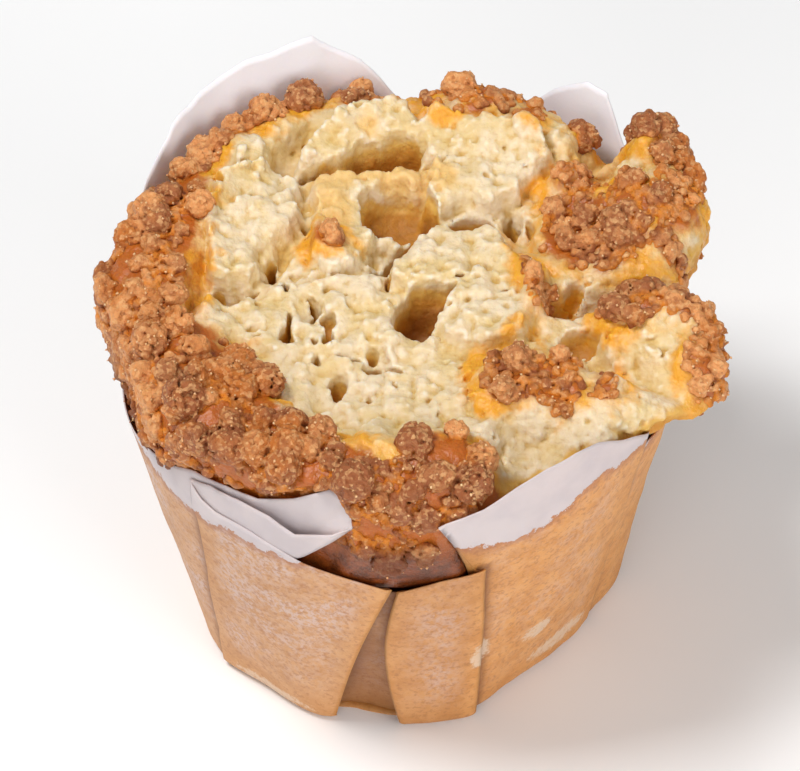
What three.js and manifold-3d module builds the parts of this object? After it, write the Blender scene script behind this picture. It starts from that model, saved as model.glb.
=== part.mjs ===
// A streusel muffin in its folded baking paper, in millimetres, standing on z = 0 with +Z up.
// The front faces -Y. Azimuths are degrees from the front, growing towards +X, the right.
import * as THREE from "three";
import { mergeVertices } from "three/addons/utils/BufferGeometryUtils.js";
import Module from "manifold-3d";

const wasm = await Module();
wasm.setup();

// Driving dimensions
const PAPER = 0.5; // thickness of the paper wall and floor
const FIT_GAP = 0.3; // clearance between cake and paper
const RIM_HEIGHT = 44; // height that PAPER_RIM is given at
const CROWN_TOP = 57.0; // height of the torn middle of the crown
const RIM_RISE = 2.2; // how much higher the streusel ring stands
const LIP_ROUND = 5.0; // radius of the crown's rounded edge
const CAKE_COLUMNS = 76;
const TOP_RINGS = 14;
const RELIEF = 0.5; // depth of the torn crumb's unevenness
const RELIEF_SPACING = 5; // size of its lumps
const PAPER_ROWS = 6;
const PANEL_COLUMNS = 5;
const CRUMB_SPACING = 4.9; // mean distance between streusel crumbs
const CRUMB_RADIUS = [2.1, 3.5];
const CRUMB_SINK = 0.45; // share of a crumb's radius that its middle lies under the skin

const radians = THREE.MathUtils.degToRad;
const { lerp, smoothstep } = THREE.MathUtils;

// Angle between two azimuths, from -180 to 180.
const turnBetween = (from, to) => ((((to - from + 180) % 360) + 360) % 360) - 180;

// A repeatable random number generator.
function seededRandom(seed) {
  let state = seed;
  return () => {
    state = (state + 0x6d2b79f5) | 0;
    let mixed = Math.imul(state ^ (state >>> 15), 1 | state);
    mixed = (mixed + Math.imul(mixed ^ (mixed >>> 7), 61 | mixed)) ^ mixed;
    return ((mixed ^ (mixed >>> 14)) >>> 0) / 4294967296;
  };
}

// Value of a closed outline, given as [azimuth, value] in rising azimuth, at any azimuth.
function aroundOutline(outline, azimuth) {
  const turned = ((((azimuth + 180) % 360) + 360) % 360) - 180;
  let next = outline.findIndex(([at]) => at > turned);
  if (next < 0) next = 0;
  const [fromAt, fromValue] = outline.at(next - 1);
  const [toAt, toValue] = outline[next];
  const span = (toAt - fromAt + 360) % 360;
  const share = ((turned - fromAt + 360) % 360) / span;
  return lerp(fromValue, toValue, share);
}

// Outlines are [azimuth, value] in rising azimuth, with straight runs between.
// Radius of the paper cup at the floor and at RIM_HEIGHT
const PAPER_FOOT = [
  [-135, 26.8],
  [-90, 28.4],
  [-71, 29.2],
  [-60, 29.3],
  [-45, 27.0],
  [-27, 26.6],
  [-20, 25.2],
  [-8, 25.4],
  [8, 25.5],
  [19, 25.2],
  [30, 23.4],
  [42, 22.8],
  [56, 23.2],
  [70, 24.4],
  [79, 26.0],
  [90, 27.6],
  [110, 27.0],
  [150, 26.6],
];
const PAPER_RIM = [
  [-162, 37.8],
  [-141, 38.2],
  [-112, 37.6],
  [-90, 37.6],
  [-71, 38.5],
  [-50, 38.0],
  [-25, 36.8],
  [0, 35.8],
  [20, 35.6],
  [45, 35.0],
  [60, 34.4],
  [77, 34.2],
  [90, 34.8],
  [110, 36.2],
  [136, 38.0],
  [153, 38.6],
  [172, 37.8],
];

// Radius of the crown's edge, with the two torn lobes on the right
const CROWN_EDGE = [
  [-162, 39.4],
  [-146, 38.6],
  [-134, 37.8],
  [-122, 38.0],
  [-112, 38.4],
  [-102, 40.0],
  [-92, 40.6],
  [-84, 38.2],
  [-75, 37.4],
  [-56, 39.2],
  [-46, 39.2],
  [-30, 37.8],
  [-10, 37.4],
  [0, 37.0],
  [12, 36.2],
  [25, 34.4],
  [45, 35.4],
  [54, 37.0],
  [62, 41.8],
  [67, 43.8],
  [72, 43.2],
  [82, 40.2],
  [87, 36.6],
  [91, 34.4],
  [96, 34.8],
  [100, 36.8],
  [105, 39.8],
  [110, 41.4],
  [119, 41.8],
  [128, 43.2],
  [133, 42.8],
  [137, 38.4],
  [141, 36.4],
  [148, 38.0],
  [157, 38.6],
  [170, 38.6],
  [180, 39.2],
];

// Height where the crown starts to bulge over the wall
const LIP_FOOT = [
  [-90, 46.5],
  [-60, 48],
  [-48, 51],
  [-14, 51],
  [-8, 46],
  [10, 45],
  [50, 49],
  [58, 52],
  [80, 51.5],
  [110, 50],
  [132, 50],
  [142, 46.5],
];

// Mounds on the crown: centre, half sizes along and across, turn in degrees, height
const MOUNDS = [
  { x: -22, y: 10, along: 8, across: 6, turn: 70, rise: 2.6 }, // left crumb lump
  { x: -6, y: 27.5, along: 10, across: 3, turn: 8, rise: 2.4 }, // back ridge
  { x: 10, y: 22, along: 8.5, across: 5, turn: -8, rise: 2.6 }, // back right lump
  { x: -5, y: 19.6, along: 8, across: 1.8, turn: 0, rise: 2.4 }, // bridge between hollows
  { x: 9, y: 4, along: 7, across: 5.5, turn: 50, rise: 2.4 }, // middle right lump
  { x: -9, y: 36, along: 7, across: 3, turn: 8, rise: 2.2 }, // rim, back left
  { x: 9, y: 34, along: 7, across: 3.5, turn: -10, rise: 1.0 }, // rim, back right
  { x: 32, y: 14, along: 8, across: 6, turn: 20, rise: 2.0 }, // upper lobe
  { x: 33, y: 25, along: 6, across: 4, turn: -30, rise: 4.5 }, // upper lobe's corner
  { x: 33, y: -5, along: 8, across: 4, turn: -15, rise: 1.8 }, // lower lobe
  { x: 15, y: -17, along: 7, across: 4, turn: -5, rise: 1.6 }, // front right streusel
  { x: 16, y: 0, along: 2.5, across: 5, turn: 5, rise: 1.6 }, // streusel streak
  { x: 4, y: -29, along: 8, across: 5, turn: 0, rise: 1.4 }, // front rim
  { x: -29, y: -20, along: 9, across: 4, turn: -50, rise: 1.4 }, // front left rim
];

// Hollows torn in the crumb, as MOUNDS with a depth
const HOLLOWS = [
  { x: 1.5, y: -3.5, along: 3.4, across: 3.0, turn: 60, depth: 8.5 }, // deepest hole
  { x: -2.5, y: 14.6, along: 4.6, across: 3.6, turn: 0, depth: 5.5 }, // hole before the bridge
  { x: 7.6, y: 13, along: 3.2, across: 1.9, turn: 5, depth: 5.0 },
  { x: -4, y: 23.6, along: 4.8, across: 1.7, turn: 4, depth: 5.0 }, // slot behind the bridge
  { x: -14.5, y: 24.5, along: 6, across: 1.9, turn: 38, depth: 3.0 }, // groove inside the rim
  { x: -1, y: 32.6, along: 8, across: 1.8, turn: -4, depth: 2.6 },
  { x: 28, y: -1, along: 10, across: 2.3, turn: 4, depth: 5.5 }, // tear between the lobes
  { x: 26, y: 25.5, along: 7, across: 3.0, turn: 28, depth: 5.5 }, // tear behind the upper lobe
  { x: 28, y: -14, along: 8, across: 2.8, turn: -22, depth: 3.6 }, // valley before the lower lobe
  { x: 14, y: -27, along: 6, across: 3.0, turn: 28, depth: 3.6 }, // dip by the raised paper
  { x: 21.5, y: -8, along: 3.0, across: 2.2, turn: 0, depth: 3.6 },
  { x: -16.5, y: -7.5, along: 2.8, across: 1.7, turn: 80, depth: 2.6 }, // small pores
  { x: -12.6, y: -4, along: 3.0, across: 1.6, turn: 100, depth: 2.4 },
  { x: -9.4, y: -16, along: 2.0, across: 2.0, turn: 0, depth: 2.6 },
  { x: -18, y: 4, along: 6, across: 1.5, turn: 18, depth: 2.4 }, // crease under the left lump
];

// Share of RIM_RISE reached round the crown
const RIM_LEVEL = [
  [-140, 1.0],
  [-90, 0.8],
  [-45, 0.6],
  [0, 0.3],
  [30, 0.2],
  [60, 0.4],
  [100, 0.6],
  [150, 1.0],
];

// Bell shaped bump, 1 at its centre, for one row of MOUNDS or HOLLOWS.
function bump({ x, y, along, across, turn }, atX, atY) {
  const angle = radians(turn);
  const u = (atX - x) * Math.cos(angle) + (atY - y) * Math.sin(angle);
  const v = (atY - y) * Math.cos(angle) - (atX - x) * Math.sin(angle);
  return Math.exp(-(((u / along) ** 2 + (v / across) ** 2) ** 1.5));
}

// Smooth noise from -1 to 1 on a lattice of unit cells.
const lattice = (i, j, k) => {
  const wave = Math.sin(i * 127.1 + j * 311.7 + k * 74.7) * 43758.5453;
  return 2 * (wave - Math.floor(wave)) - 1;
};

function smoothNoise(x, y, z) {
  const cell = [x, y, z].map(Math.floor);
  const share = [x, y, z].map((value, axis) => smoothstep(value - cell[axis], 0, 1));
  let sum = 0;
  for (let corner = 0; corner < 8; corner++) {
    const step = [corner & 1, (corner >> 1) & 1, corner >> 2];
    const weight = step.reduce((w, s, axis) => w * (s ? share[axis] : 1 - share[axis]), 1);
    sum += weight * lattice(cell[0] + step[0], cell[1] + step[1], cell[2] + step[2]);
  }
  return sum;
}

// Height of the crown's upper side over a point of the plan.
function crownHeight(x, y) {
  const mounds = MOUNDS.reduce((sum, mound) => sum + mound.rise * bump(mound, x, y), 0);
  const hollows = HOLLOWS.reduce((sum, hollow) => sum + hollow.depth * bump(hollow, x, y), 0);
  const azimuth = THREE.MathUtils.radToDeg(Math.atan2(x, -y));
  const rim = smoothstep(Math.hypot(x, y), 23, 33) * aroundOutline(RIM_LEVEL, azimuth);
  return CROWN_TOP + mounds - hollows + RIM_RISE * rim;
}

const cupRadius = (azimuth, z) =>
  lerp(aroundOutline(PAPER_FOOT, azimuth), aroundOutline(PAPER_RIM, azimuth), z / RIM_HEIGHT);

const onPlan = (azimuth, radius, z) =>
  new THREE.Vector3(
    radius * Math.sin(radians(azimuth)),
    -radius * Math.cos(radians(azimuth)),
    z,
  );

// Cake surface: wall from 0 to 1, rounded lip from 1 to 2, upper side from 2 to 3
function cakePoint(azimuth, along) {
  const foot = PAPER + FIT_GAP;
  const lipFoot = aroundOutline(LIP_FOOT, azimuth);
  const wall = (z) => cupRadius(azimuth, z) - 0.9;
  if (along < 1) {
    const z = lerp(foot, lipFoot, along);
    return onPlan(azimuth, wall(z), z);
  }
  const edge = aroundOutline(CROWN_EDGE, azimuth);
  if (along >= 2) {
    const point = onPlan(azimuth, (edge - LIP_ROUND) * (3 - along), 0);
    point.z = crownHeight(point.x, point.y);
    return point;
  }
  const angle = Math.PI * (along - 1.5);
  const shoulder = onPlan(azimuth, edge - LIP_ROUND, 0);
  const top = crownHeight(shoulder.x, shoulder.y);
  const start = along < 1.5 ? wall(lipFoot) : edge - LIP_ROUND;
  const radius = lerp(start, edge, Math.cos(angle) ** 0.85);
  return onPlan(azimuth, radius, lerp(lipFoot, top, (1 + Math.sin(angle)) / 2));
}

// Turns a geometry into a solid of the joining library.
function solidOf(geometry) {
  const bare = geometry.clone();
  bare.deleteAttribute("normal");
  bare.deleteAttribute("uv");
  const merged = mergeVertices(bare, 1e-4);
  const corners = merged.index.array;
  const kept = [];
  for (let i = 0; i < corners.length; i += 3) {
    const [a, b, c] = corners.slice(i, i + 3);
    if (a !== b && b !== c && c !== a) kept.push(a, b, c);
  }
  return new wasm.Manifold(
    new wasm.Mesh({
      numProp: 3,
      vertProperties: merged.attributes.position.array,
      triVerts: new Uint32Array(kept),
    }),
  );
}

function geometryOf(solid) {
  const mesh = solid.getMesh();
  const positions = new Float32Array(mesh.numVert * 3);
  for (let i = 0; i < mesh.numVert; i++)
    positions.set(mesh.vertProperties.subarray(i * mesh.numProp, i * mesh.numProp + 3), i * 3);
  return new THREE.BufferGeometry()
    .setAttribute("position", new THREE.BufferAttribute(positions, 3))
    .setIndex(new THREE.BufferAttribute(mesh.triVerts, 1));
}

// A lathed blank whose rings are moved to place(azimuth, ring).
function turned(rings, columns, place) {
  const blank = Array.from({ length: rings }, (_, ring) => {
    const onAxis = ring === 0 || ring === rings - 1;
    return new THREE.Vector2(onAxis ? 0 : 1, ring);
  });
  const geometry = new THREE.LatheGeometry(blank, columns);
  const position = geometry.getAttribute("position");
  for (let i = 0; i < position.count; i++) {
    const column = Math.floor(i / rings) % columns;
    const point = place((column * 360) / columns, i % rings);
    position.setXYZ(i, point.x, point.y, point.z);
  }
  return solidOf(geometry);
}

// Places along cakePoint of the rings of the cake's wall and lip
const WALL_RINGS = [0, 1.0];
const LIP_RINGS = [1.2, 1.42, 1.64, 1.82];

// The cake without its streusel
function cakeCore() {
  const topRings = Array.from({ length: TOP_RINGS }, (_, i) => 2 + i / (TOP_RINGS - 1));
  const stations = [...WALL_RINGS, ...LIP_RINGS, ...topRings];
  return turned(stations.length + 1, CAKE_COLUMNS, (azimuth, ring) => {
    if (ring === 0) return new THREE.Vector3(0, 0, PAPER + FIT_GAP);
    const along = stations[ring - 1];
    const point = cakePoint(along === 3 ? 0 : azimuth, along);
    if (along <= 1.1) return point;
    const at = point.clone().divideScalar(RELIEF_SPACING);
    const push = RELIEF * smoothNoise(at.x, at.y, at.z);
    if (along < 3) point.addScaledVector(point.clone().setZ(0).normalize(), 0.6 * push);
    point.z += push;
    return point;
  });
}

// Radius where the streusel ring starts, at azimuths round the crown
const STREUSEL_INNER = [
  [-165, 36],
  [-135, 33.5],
  [-118, 29.5],
  [-100, 28],
  [-76, 28.5],
  [-64, 22.5],
  [-45, 25],
  [-22, 27.5],
  [-8, 25.5],
  [8, 24],
  [20, 30],
  [40, 44],
  [140, 44],
  [150, 33.5],
  [168, 33.5],
];

// Streusel patches on the torn right side: centre and radius
const STREUSEL_PATCHES = [
  { x: 20, y: 15, radius: 4.5 },
  { x: 27, y: 12, radius: 7 },
  { x: 35, y: 16, radius: 5.5 },
  { x: 29, y: 5.5, radius: 4.5 },
  { x: 34, y: 26, radius: 6.5 },
  { x: 27, y: -4.5, radius: 4.5 },
  { x: 35, y: -4, radius: 4.5 },
  { x: 41, y: -11, radius: 5.5 },
  { x: 16, y: 1, radius: 3.8 },
  { x: 12, y: -16, radius: 5 },
  { x: 20, y: -17, radius: 4.5 },
];

function hasStreusel(point, azimuth, along) {
  const radius = Math.hypot(point.x, point.y);
  if (along < 1.6 && Math.abs(turnBetween(88, azimuth)) < 44) return false;
  if (along < 1.75 && Math.abs(turnBetween(-31, azimuth)) < 19) return false;
  if (radius > aroundOutline(STREUSEL_INNER, azimuth)) return true;
  return STREUSEL_PATCHES.some(
    (patch) => Math.hypot(point.x - patch.x, point.y - patch.y) < patch.radius,
  );
}

// One irregular crumb: a stretched and dented icosahedron.
function crumb(centre, radius, random) {
  const shape = new THREE.IcosahedronGeometry(radius, 0);
  shape.deleteAttribute("normal");
  shape.deleteAttribute("uv");
  const merged = mergeVertices(shape, 1e-3);
  const position = merged.getAttribute("position");
  for (let i = 0; i < position.count; i++) {
    const swell = lerp(0.8, 1.2, random());
    position.setXYZ(i, ...[position.getX(i), position.getY(i), position.getZ(i)].map((v) => v * swell));
  }
  const stretch = new THREE.Matrix4().makeScale(1, lerp(0.8, 1.2, random()), lerp(0.75, 1, random()));
  const turn = new THREE.Matrix4().makeRotationFromEuler(
    new THREE.Euler(...Array.from({ length: 3 }, () => random() * Math.PI * 2)),
  );
  merged.applyMatrix4(turn.multiply(stretch));
  merged.translate(centre.x, centre.y, centre.z);
  return solidOf(merged);
}

// Streusel crumbs set round the crown in rows from the foot of the lip to the middle.
function streuselCrumbs() {
  const random = seededRandom(41);
  const rows = [1.2, 1.5, 1.8, ...Array.from({ length: 7 }, (_, i) => 2.02 + i * 0.14)];
  const crumbs = [];
  for (const row of rows) {
    const radius = cakePoint(0, row).setZ(0).length();
    const count = Math.round((2 * Math.PI * radius) / CRUMB_SPACING);
    for (let i = 0; i < count; i++) {
      const azimuth = ((i + 0.5 * random()) * 360) / count - 180;
      const along = row + 0.05 * (random() - 0.5);
      const size = lerp(...CRUMB_RADIUS, random() ** 2);
      const point = cakePoint(azimuth, along);
      if (!hasStreusel(point, azimuth, along)) continue;
      const inward = point.clone().setZ(0).normalize();
      const level = smoothstep(along, 1.3, 1.9);
      point.addScaledVector(inward, -CRUMB_SINK * size * (1 - level));
      point.z -= CRUMB_SINK * size * level;
      crumbs.push(crumb(point, size, random));
    }
  }
  // Two lone crumbs: one lying on the crumb, one in the dip under the front lip
  crumbs.push(crumb(new THREE.Vector3(-11, 7.5, crownHeight(-11, 7.5) + 0.6), 2.2, random));
  crumbs.push(crumb(onPlan(4, cupRadius(4, 43) - 0.4, 43.5), 2.4, random));
  return crumbs;
}

// Panels of the pleated cup. from and to are the azimuths of a panel's two edges at the foot and
// at the rim, proud how far each of the two edges stands off the cup.
const PANELS = [
  { from: [-60, -47.5], to: [-22, -4.4], proud: [0.9, 1.0] }, // front left
  { from: [-3.5, -3.6], to: [19, 14.2], proud: [0.6, 0.9] }, // front middle
  { from: [20.4, 15.2], to: [73, 55], proud: [0.1, 0.9] }, // front right
  { from: [80, 60], to: [92, 78], proud: [0.6, 0.8] },
  { from: [95, 81], to: [124, 112], proud: [0.1, 0.8] },
  { from: [127, 116], to: [150, 146.3], proud: [0.6, 0.7] }, // back right corner
  { from: [153, 149], to: [192, 196], proud: [0.1, 0.8] },
  { from: [195, 198.3], to: [226, 230], proud: [0.6, 0.7] }, // tall back corner
  { from: [229, 233], to: [262, 264], proud: [0.1, 0.8] },
  { from: [265, 267], to: [296, 309], proud: [0.6, 0.1] }, // left
];

// Height of the paper's free edge, by azimuth at the rim
const PAPER_EDGE = [
  [-172, 57],
  [-162, 65.2],
  [-141, 64],
  [-131, 62.3],
  [-121, 58],
  [-112, 55.5],
  [-100, 47],
  [-80, 45],
  [-71, 44.8],
  [-62, 46],
  [-51, 50],
  [-47.5, 49],
  [-4.4, 38.6],
  [-3.6, 38.2],
  [14.2, 41.2],
  [15.2, 56],
  [22, 60],
  [34, 62],
  [43, 59.2],
  [50.5, 55.4],
  [55, 52.6],
  [60, 47],
  [116, 47],
  [128, 51],
  [136, 54.3],
  [146, 61.3],
  [153, 58],
  [162, 50],
  [176, 50],
];

// How far the paper's edge is bent off the cone of the cup, by azimuth
const EDGE_BEND = [
  [-172, -0.6],
  [-160, -0.8],
  [-120, -0.8],
  [-100, -0.4],
  [-40, 0],
  [0, 0],
  [20, -1.0],
  [35, -2.0],
  [50, -1.2],
  [70, 0],
  [120, 0],
  [145, -0.4],
  [160, -0.4],
];

function paperRadius(azimuth, z, proud) {
  const bend = aroundOutline(EDGE_BEND, azimuth) * smoothstep(z, RIM_HEIGHT, 60);
  return cupRadius(azimuth, z) + bend + proud;
}

// Mid surface of the paper as columns of points from foot to rim.
function paperColumns() {
  const columns = [];
  for (const panel of PANELS) {
    for (let i = 0; i <= PANEL_COLUMNS; i++) {
      const across = i / PANEL_COLUMNS;
      const ends = [0, 1].map((end) => lerp(panel.from[end], panel.to[end], across));
      columns.push({ ends, proud: lerp(...panel.proud, across) });
    }
    const [foot, rim] = panel.to;
    columns.push({ ends: [foot + 1.2, rim + 0.5], proud: -0.2 });
  }
  return columns;
}

// Paper cup: floor disc and pleated wall in one closed skin. extra thickens it on both sides.
function paperCup(extra = 0) {
  const columns = paperColumns();
  const half = PAPER / 2 + extra;
  const place = (column, share, side) => {
    const { ends, proud } = columns[column % columns.length];
    const height = aroundOutline(PAPER_EDGE, ends[1]) + extra;
    const z = lerp(0, height, share);
    const azimuth = lerp(ends[0], ends[1], Math.min(1, z / RIM_HEIGHT));
    return onPlan(azimuth, paperRadius(azimuth, z, proud) + side * half, z);
  };
  const floorTop = PAPER + extra;
  const rings = [
    () => new THREE.Vector3(0, 0, -extra),
    (column) => place(column, 0, 1).setZ(-extra),
    ...Array.from({ length: PAPER_ROWS }, (_, i) => (column) => {
      return place(column, (i + 1) / PAPER_ROWS, 1);
    }),
    ...Array.from({ length: PAPER_ROWS }, (_, i) => (column) => {
      return place(column, 1 - i / PAPER_ROWS, -1);
    }),
    (column) => place(column, 0, -1).setZ(floorTop),
    () => new THREE.Vector3(0, 0, floorTop),
  ];
  return turned(rings.length, columns.length, (angle, ring) => {
    return rings[ring](Math.round((angle * columns.length) / 360));
  });
}

// Folded flap at the front left, as [azimuth, radius, bottom, top] along each layer
const FLAP_BACK = [
  [-56, 38.4, 44, 47.6],
  [-47.5, 37.9, 44, 50.4],
  [-40, 37.6, 44, 51.4],
  [-33, 37.1, 44, 51.8],
  [-24, 36.4, 45, 54.2],
  [-18.5, 36.3, 46, 55.8],
  [-15.5, 36.5, 48, 56.8],
  [-13, 37.2, 49.5, 55.6],
  [-11.6, 38.0, 50.5, 54.0],
];
const FLAP_MIDDLE = [
  [-48.5, 38.6, 42, 48.6],
  [-41, 38.0, 42, 50.2],
  [-33, 37.8, 42, 50.6],
  [-27, 38.2, 42, 50.6],
  [-20, 38.4, 43, 48.6],
  [-15.5, 38.5, 46.5, 50.4],
  [-11.6, 38.0, 50.5, 54.0],
];

// A strip of paper standing on edge along a path like FLAP_BACK.
function ribbon(path, extra) {
  const half = PAPER / 2 + extra;
  const middle = path.map(([azimuth, radius]) => onPlan(azimuth, radius, 0));
  const positions = [];
  path.forEach(([, , bottom, top], i) => {
    const before = middle[Math.max(0, i - 1)];
    const after = middle[Math.min(path.length - 1, i + 1)];
    const side = after.clone().sub(before).normalize();
    const off = new THREE.Vector3(-side.y, side.x, 0).multiplyScalar(half);
    const corners = [
      [1, bottom - extra],
      [1, top + extra],
      [-1, top + extra],
      [-1, bottom - extra],
    ];
    for (const [sign, z] of corners) {
      const corner = middle[i].clone().addScaledVector(off, sign);
      positions.push(corner.x, corner.y, z);
    }
  });
  const faces = [0, 2, 1, 0, 3, 2];
  for (let i = 0; i < path.length - 1; i++)
    for (let corner = 0; corner < 4; corner++) {
      const a = 4 * i + corner;
      const b = 4 * i + ((corner + 1) % 4);
      faces.push(a, b, b + 4, a, b + 4, a + 4);
    }
  const last = 4 * (path.length - 1);
  faces.push(last, last + 1, last + 2, last, last + 2, last + 3);
  const geometry = new THREE.BufferGeometry().setIndex(faces);
  geometry.setAttribute("position", new THREE.Float32BufferAttribute(positions, 3));
  return solidOf(geometry);
}

// Whole paper case, thickened by extra on both sides
const paperCase = (extra = 0) =>
  [FLAP_BACK, FLAP_MIDDLE].reduce((whole, path) => whole.add(ribbon(path, extra)), paperCup(extra));

const biggest = (solid) =>
  solid.decompose().reduce((best, piece) => (piece.volume() > best.volume() ? piece : best));

const colours = { cake: 0xe6c88a, paper: 0xc49a66 };

const muffin = new THREE.Group();

const cupSolid = biggest(paperCase());
const cupMesh = new THREE.Mesh(
  geometryOf(cupSolid),
  new THREE.MeshStandardMaterial({ color: colours.paper, roughness: 0.6, metalness: 0 }),
);
cupMesh.name = "paper_case";
muffin.add(cupMesh);

const crowned = streuselCrumbs().reduce((whole, piece) => whole.add(piece), cakeCore());
const cakeSolid = biggest(crowned.subtract(paperCase(FIT_GAP)));
const cakeMesh = new THREE.Mesh(
  geometryOf(cakeSolid),
  new THREE.MeshStandardMaterial({ color: colours.cake, roughness: 0.85, metalness: 0 }),
);
cakeMesh.name = "cake";
muffin.add(cakeMesh);

export default muffin;
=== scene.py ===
"""A streusel muffin in its folded baking paper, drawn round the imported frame.

Lengths are in millimetres until a mesh is made. Azimuths are in degrees from the front (-Y),
growing towards the right (+X). Outlines are [azimuth, value] in rising azimuth.
"""

import itertools
import math

import bmesh
import bpy
import numpy as np
from mathutils import Matrix, Vector


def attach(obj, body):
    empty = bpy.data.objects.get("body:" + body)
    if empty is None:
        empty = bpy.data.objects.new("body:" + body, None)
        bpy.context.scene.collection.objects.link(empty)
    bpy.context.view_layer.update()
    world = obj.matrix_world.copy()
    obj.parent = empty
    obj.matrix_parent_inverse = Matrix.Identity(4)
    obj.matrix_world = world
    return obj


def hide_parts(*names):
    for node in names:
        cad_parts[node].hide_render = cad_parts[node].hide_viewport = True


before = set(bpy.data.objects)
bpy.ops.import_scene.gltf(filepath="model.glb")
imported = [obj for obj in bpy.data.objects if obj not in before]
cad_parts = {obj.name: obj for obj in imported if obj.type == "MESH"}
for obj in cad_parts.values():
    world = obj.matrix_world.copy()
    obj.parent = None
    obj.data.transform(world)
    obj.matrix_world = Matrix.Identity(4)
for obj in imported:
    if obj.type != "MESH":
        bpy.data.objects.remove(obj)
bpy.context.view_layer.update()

MM = 0.001
CRUMB_STEP = 0.34  # spacing of the grid that the cake's skin is drawn on
STREUSEL_STEP = 0.25
MOST_TRIANGLES = 190000  # in one piece
SPECK_FACES = 60  # what has no more than this is left out
SAND_GRAINS = 900

# Driving sizes, as in the solids
RIM_HEIGHT = 44.0
CROWN_TOP = 57.0
RIM_RISE = 2.2
LIP_ROUND = 5.0
WALL_GAP = 0.9  # from the middle of the paper to the cake

PAPER_FOOT = [
    [-135, 26.8], [-90, 28.4], [-71, 29.2], [-60, 29.3], [-45, 27.0], [-27, 26.6], [-20, 25.2],
    [-8, 25.4], [8, 25.5], [19, 25.2], [30, 23.4], [42, 22.8], [56, 23.2], [70, 24.4],
    [79, 26.0], [90, 27.6], [110, 27.0], [150, 26.6],
]
PAPER_RIM = [
    [-162, 37.8], [-141, 38.2], [-112, 37.6], [-90, 37.6], [-71, 38.5], [-50, 38.0], [-25, 36.8],
    [0, 35.8], [20, 35.6], [45, 35.0], [60, 34.4], [77, 34.2], [90, 34.8], [110, 36.2],
    [136, 38.0], [153, 38.6], [172, 37.8],
]
CROWN_EDGE = [
    [-162, 39.4], [-146, 38.6], [-134, 37.8], [-122, 38.0], [-112, 38.4], [-102, 40.0],
    [-92, 40.6], [-84, 38.2], [-75, 37.4], [-56, 39.2], [-46, 39.2], [-30, 37.8], [-10, 37.4],
    [0, 37.0], [12, 36.2], [25, 34.4], [45, 35.4], [54, 36.8], [62, 40.4], [67, 42.0],
    [72, 41.6], [82, 39.6], [87, 36.6], [91, 34.4], [96, 34.8], [100, 36.8], [105, 39.8],
    [110, 41.4], [119, 41.8], [128, 43.2], [133, 42.8], [137, 38.4], [141, 36.4], [148, 38.0],
    [157, 38.6], [170, 38.6], [180, 39.2],
]
LIP_FOOT = [
    [-160, 45], [-90, 44.6], [-62, 45.2], [-54, 48], [-48, 50.5], [-14, 50.5], [-8, 46], [10, 45],
    [50, 49], [58, 52], [80, 51.5], [110, 50], [132, 50], [142, 46.5],
]
RIM_LEVEL = [
    [-140, 1.0], [-90, 0.8], [-45, 0.6], [0, 0.3], [30, 0.2], [60, 0.4], [100, 0.6], [150, 1.0],
]

# How thick the streusel lies at the rim
STREUSEL_COVER = [
    [-165, 1.6], [-12, 1.6], [6, 1.2], [14, 0.4], [52, 0.4], [60, 1.5], [82, 1.5], [86, 0.5],
    [98, 0.5], [102, 1.4], [134, 1.4], [139, 0.6], [148, 1.5],
]

# Mounds and hollows of the crown: x, y, half sizes along and across, turn, rise or depth
MOUNDS = [
    [-9, 37, 9, 3.4, 8, 2.4], [9, 35, 8, 3.6, -10, 1.4], [32, 14, 8, 6, 20, 2.0],
    [33, 25, 6.5, 5, -30, 5.0], [33, -5, 8, 4, -15, 1.6], [15, -17, 7, 4, -5, 1.4],
    [16, 0, 2.5, 5, 5, 1.0], [4, -29, 8, 5, 0, 1.2], [-29, -20, 9, 4, -50, 1.0],
    [-16.6, -23.6, 2.2, 2.0, 0, 1.6], [-5, -28, 2.6, 5, 20, 1.4], [-27.5, -4.5, 1.6, 2.6, 20, 1.4],
    [-22, 23, 2.6, 3, 0, 2.0], [22, 24, 3, 5, 20, 1.2],
]
HOLLOWS = [
    [-16.4, 24.6, 5.2, 2.0, 62, 3.4], [-2, 34, 10, 1.5, 2, 2.6], [28, -1, 11, 2.3, 4, 5.5],
    [26, 25.5, 7, 3.0, 28, 4.5], [24.4, 21.4, 4, 2.6, 60, 3.0], [28, -14, 8, 2.8, -22, 3.6],
    [14, -27, 6, 3.0, 28, 3.6], [-23, -0.8, 4, 1.3, 6, 2.2], [-28.4, -2, 1.6, 5, 0, 2.2],
    [-18.2, 6.4, 1.8, 3.4, -10, 2.4], [-3.4, 6.6, 3.0, 2.6, 30, 2.2], [13.2, 14, 1.3, 2.6, 10, 2.6],
    [-13.4, -3.4, 1.6, 3.0, 10, 1.6], [-5, -11.8, 1.6, 2.2, 0, 1.4], [-10, -20, 4, 6, 20, 1.2],
    [14.6, 9.4, 1.6, 3.4, 30, 1.8], [19.5, -1.5, 1.8, 2.6, 0, 2.4], [-24.6, 14.2, 3.6, 0.9, 40, 0.9],
]
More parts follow.
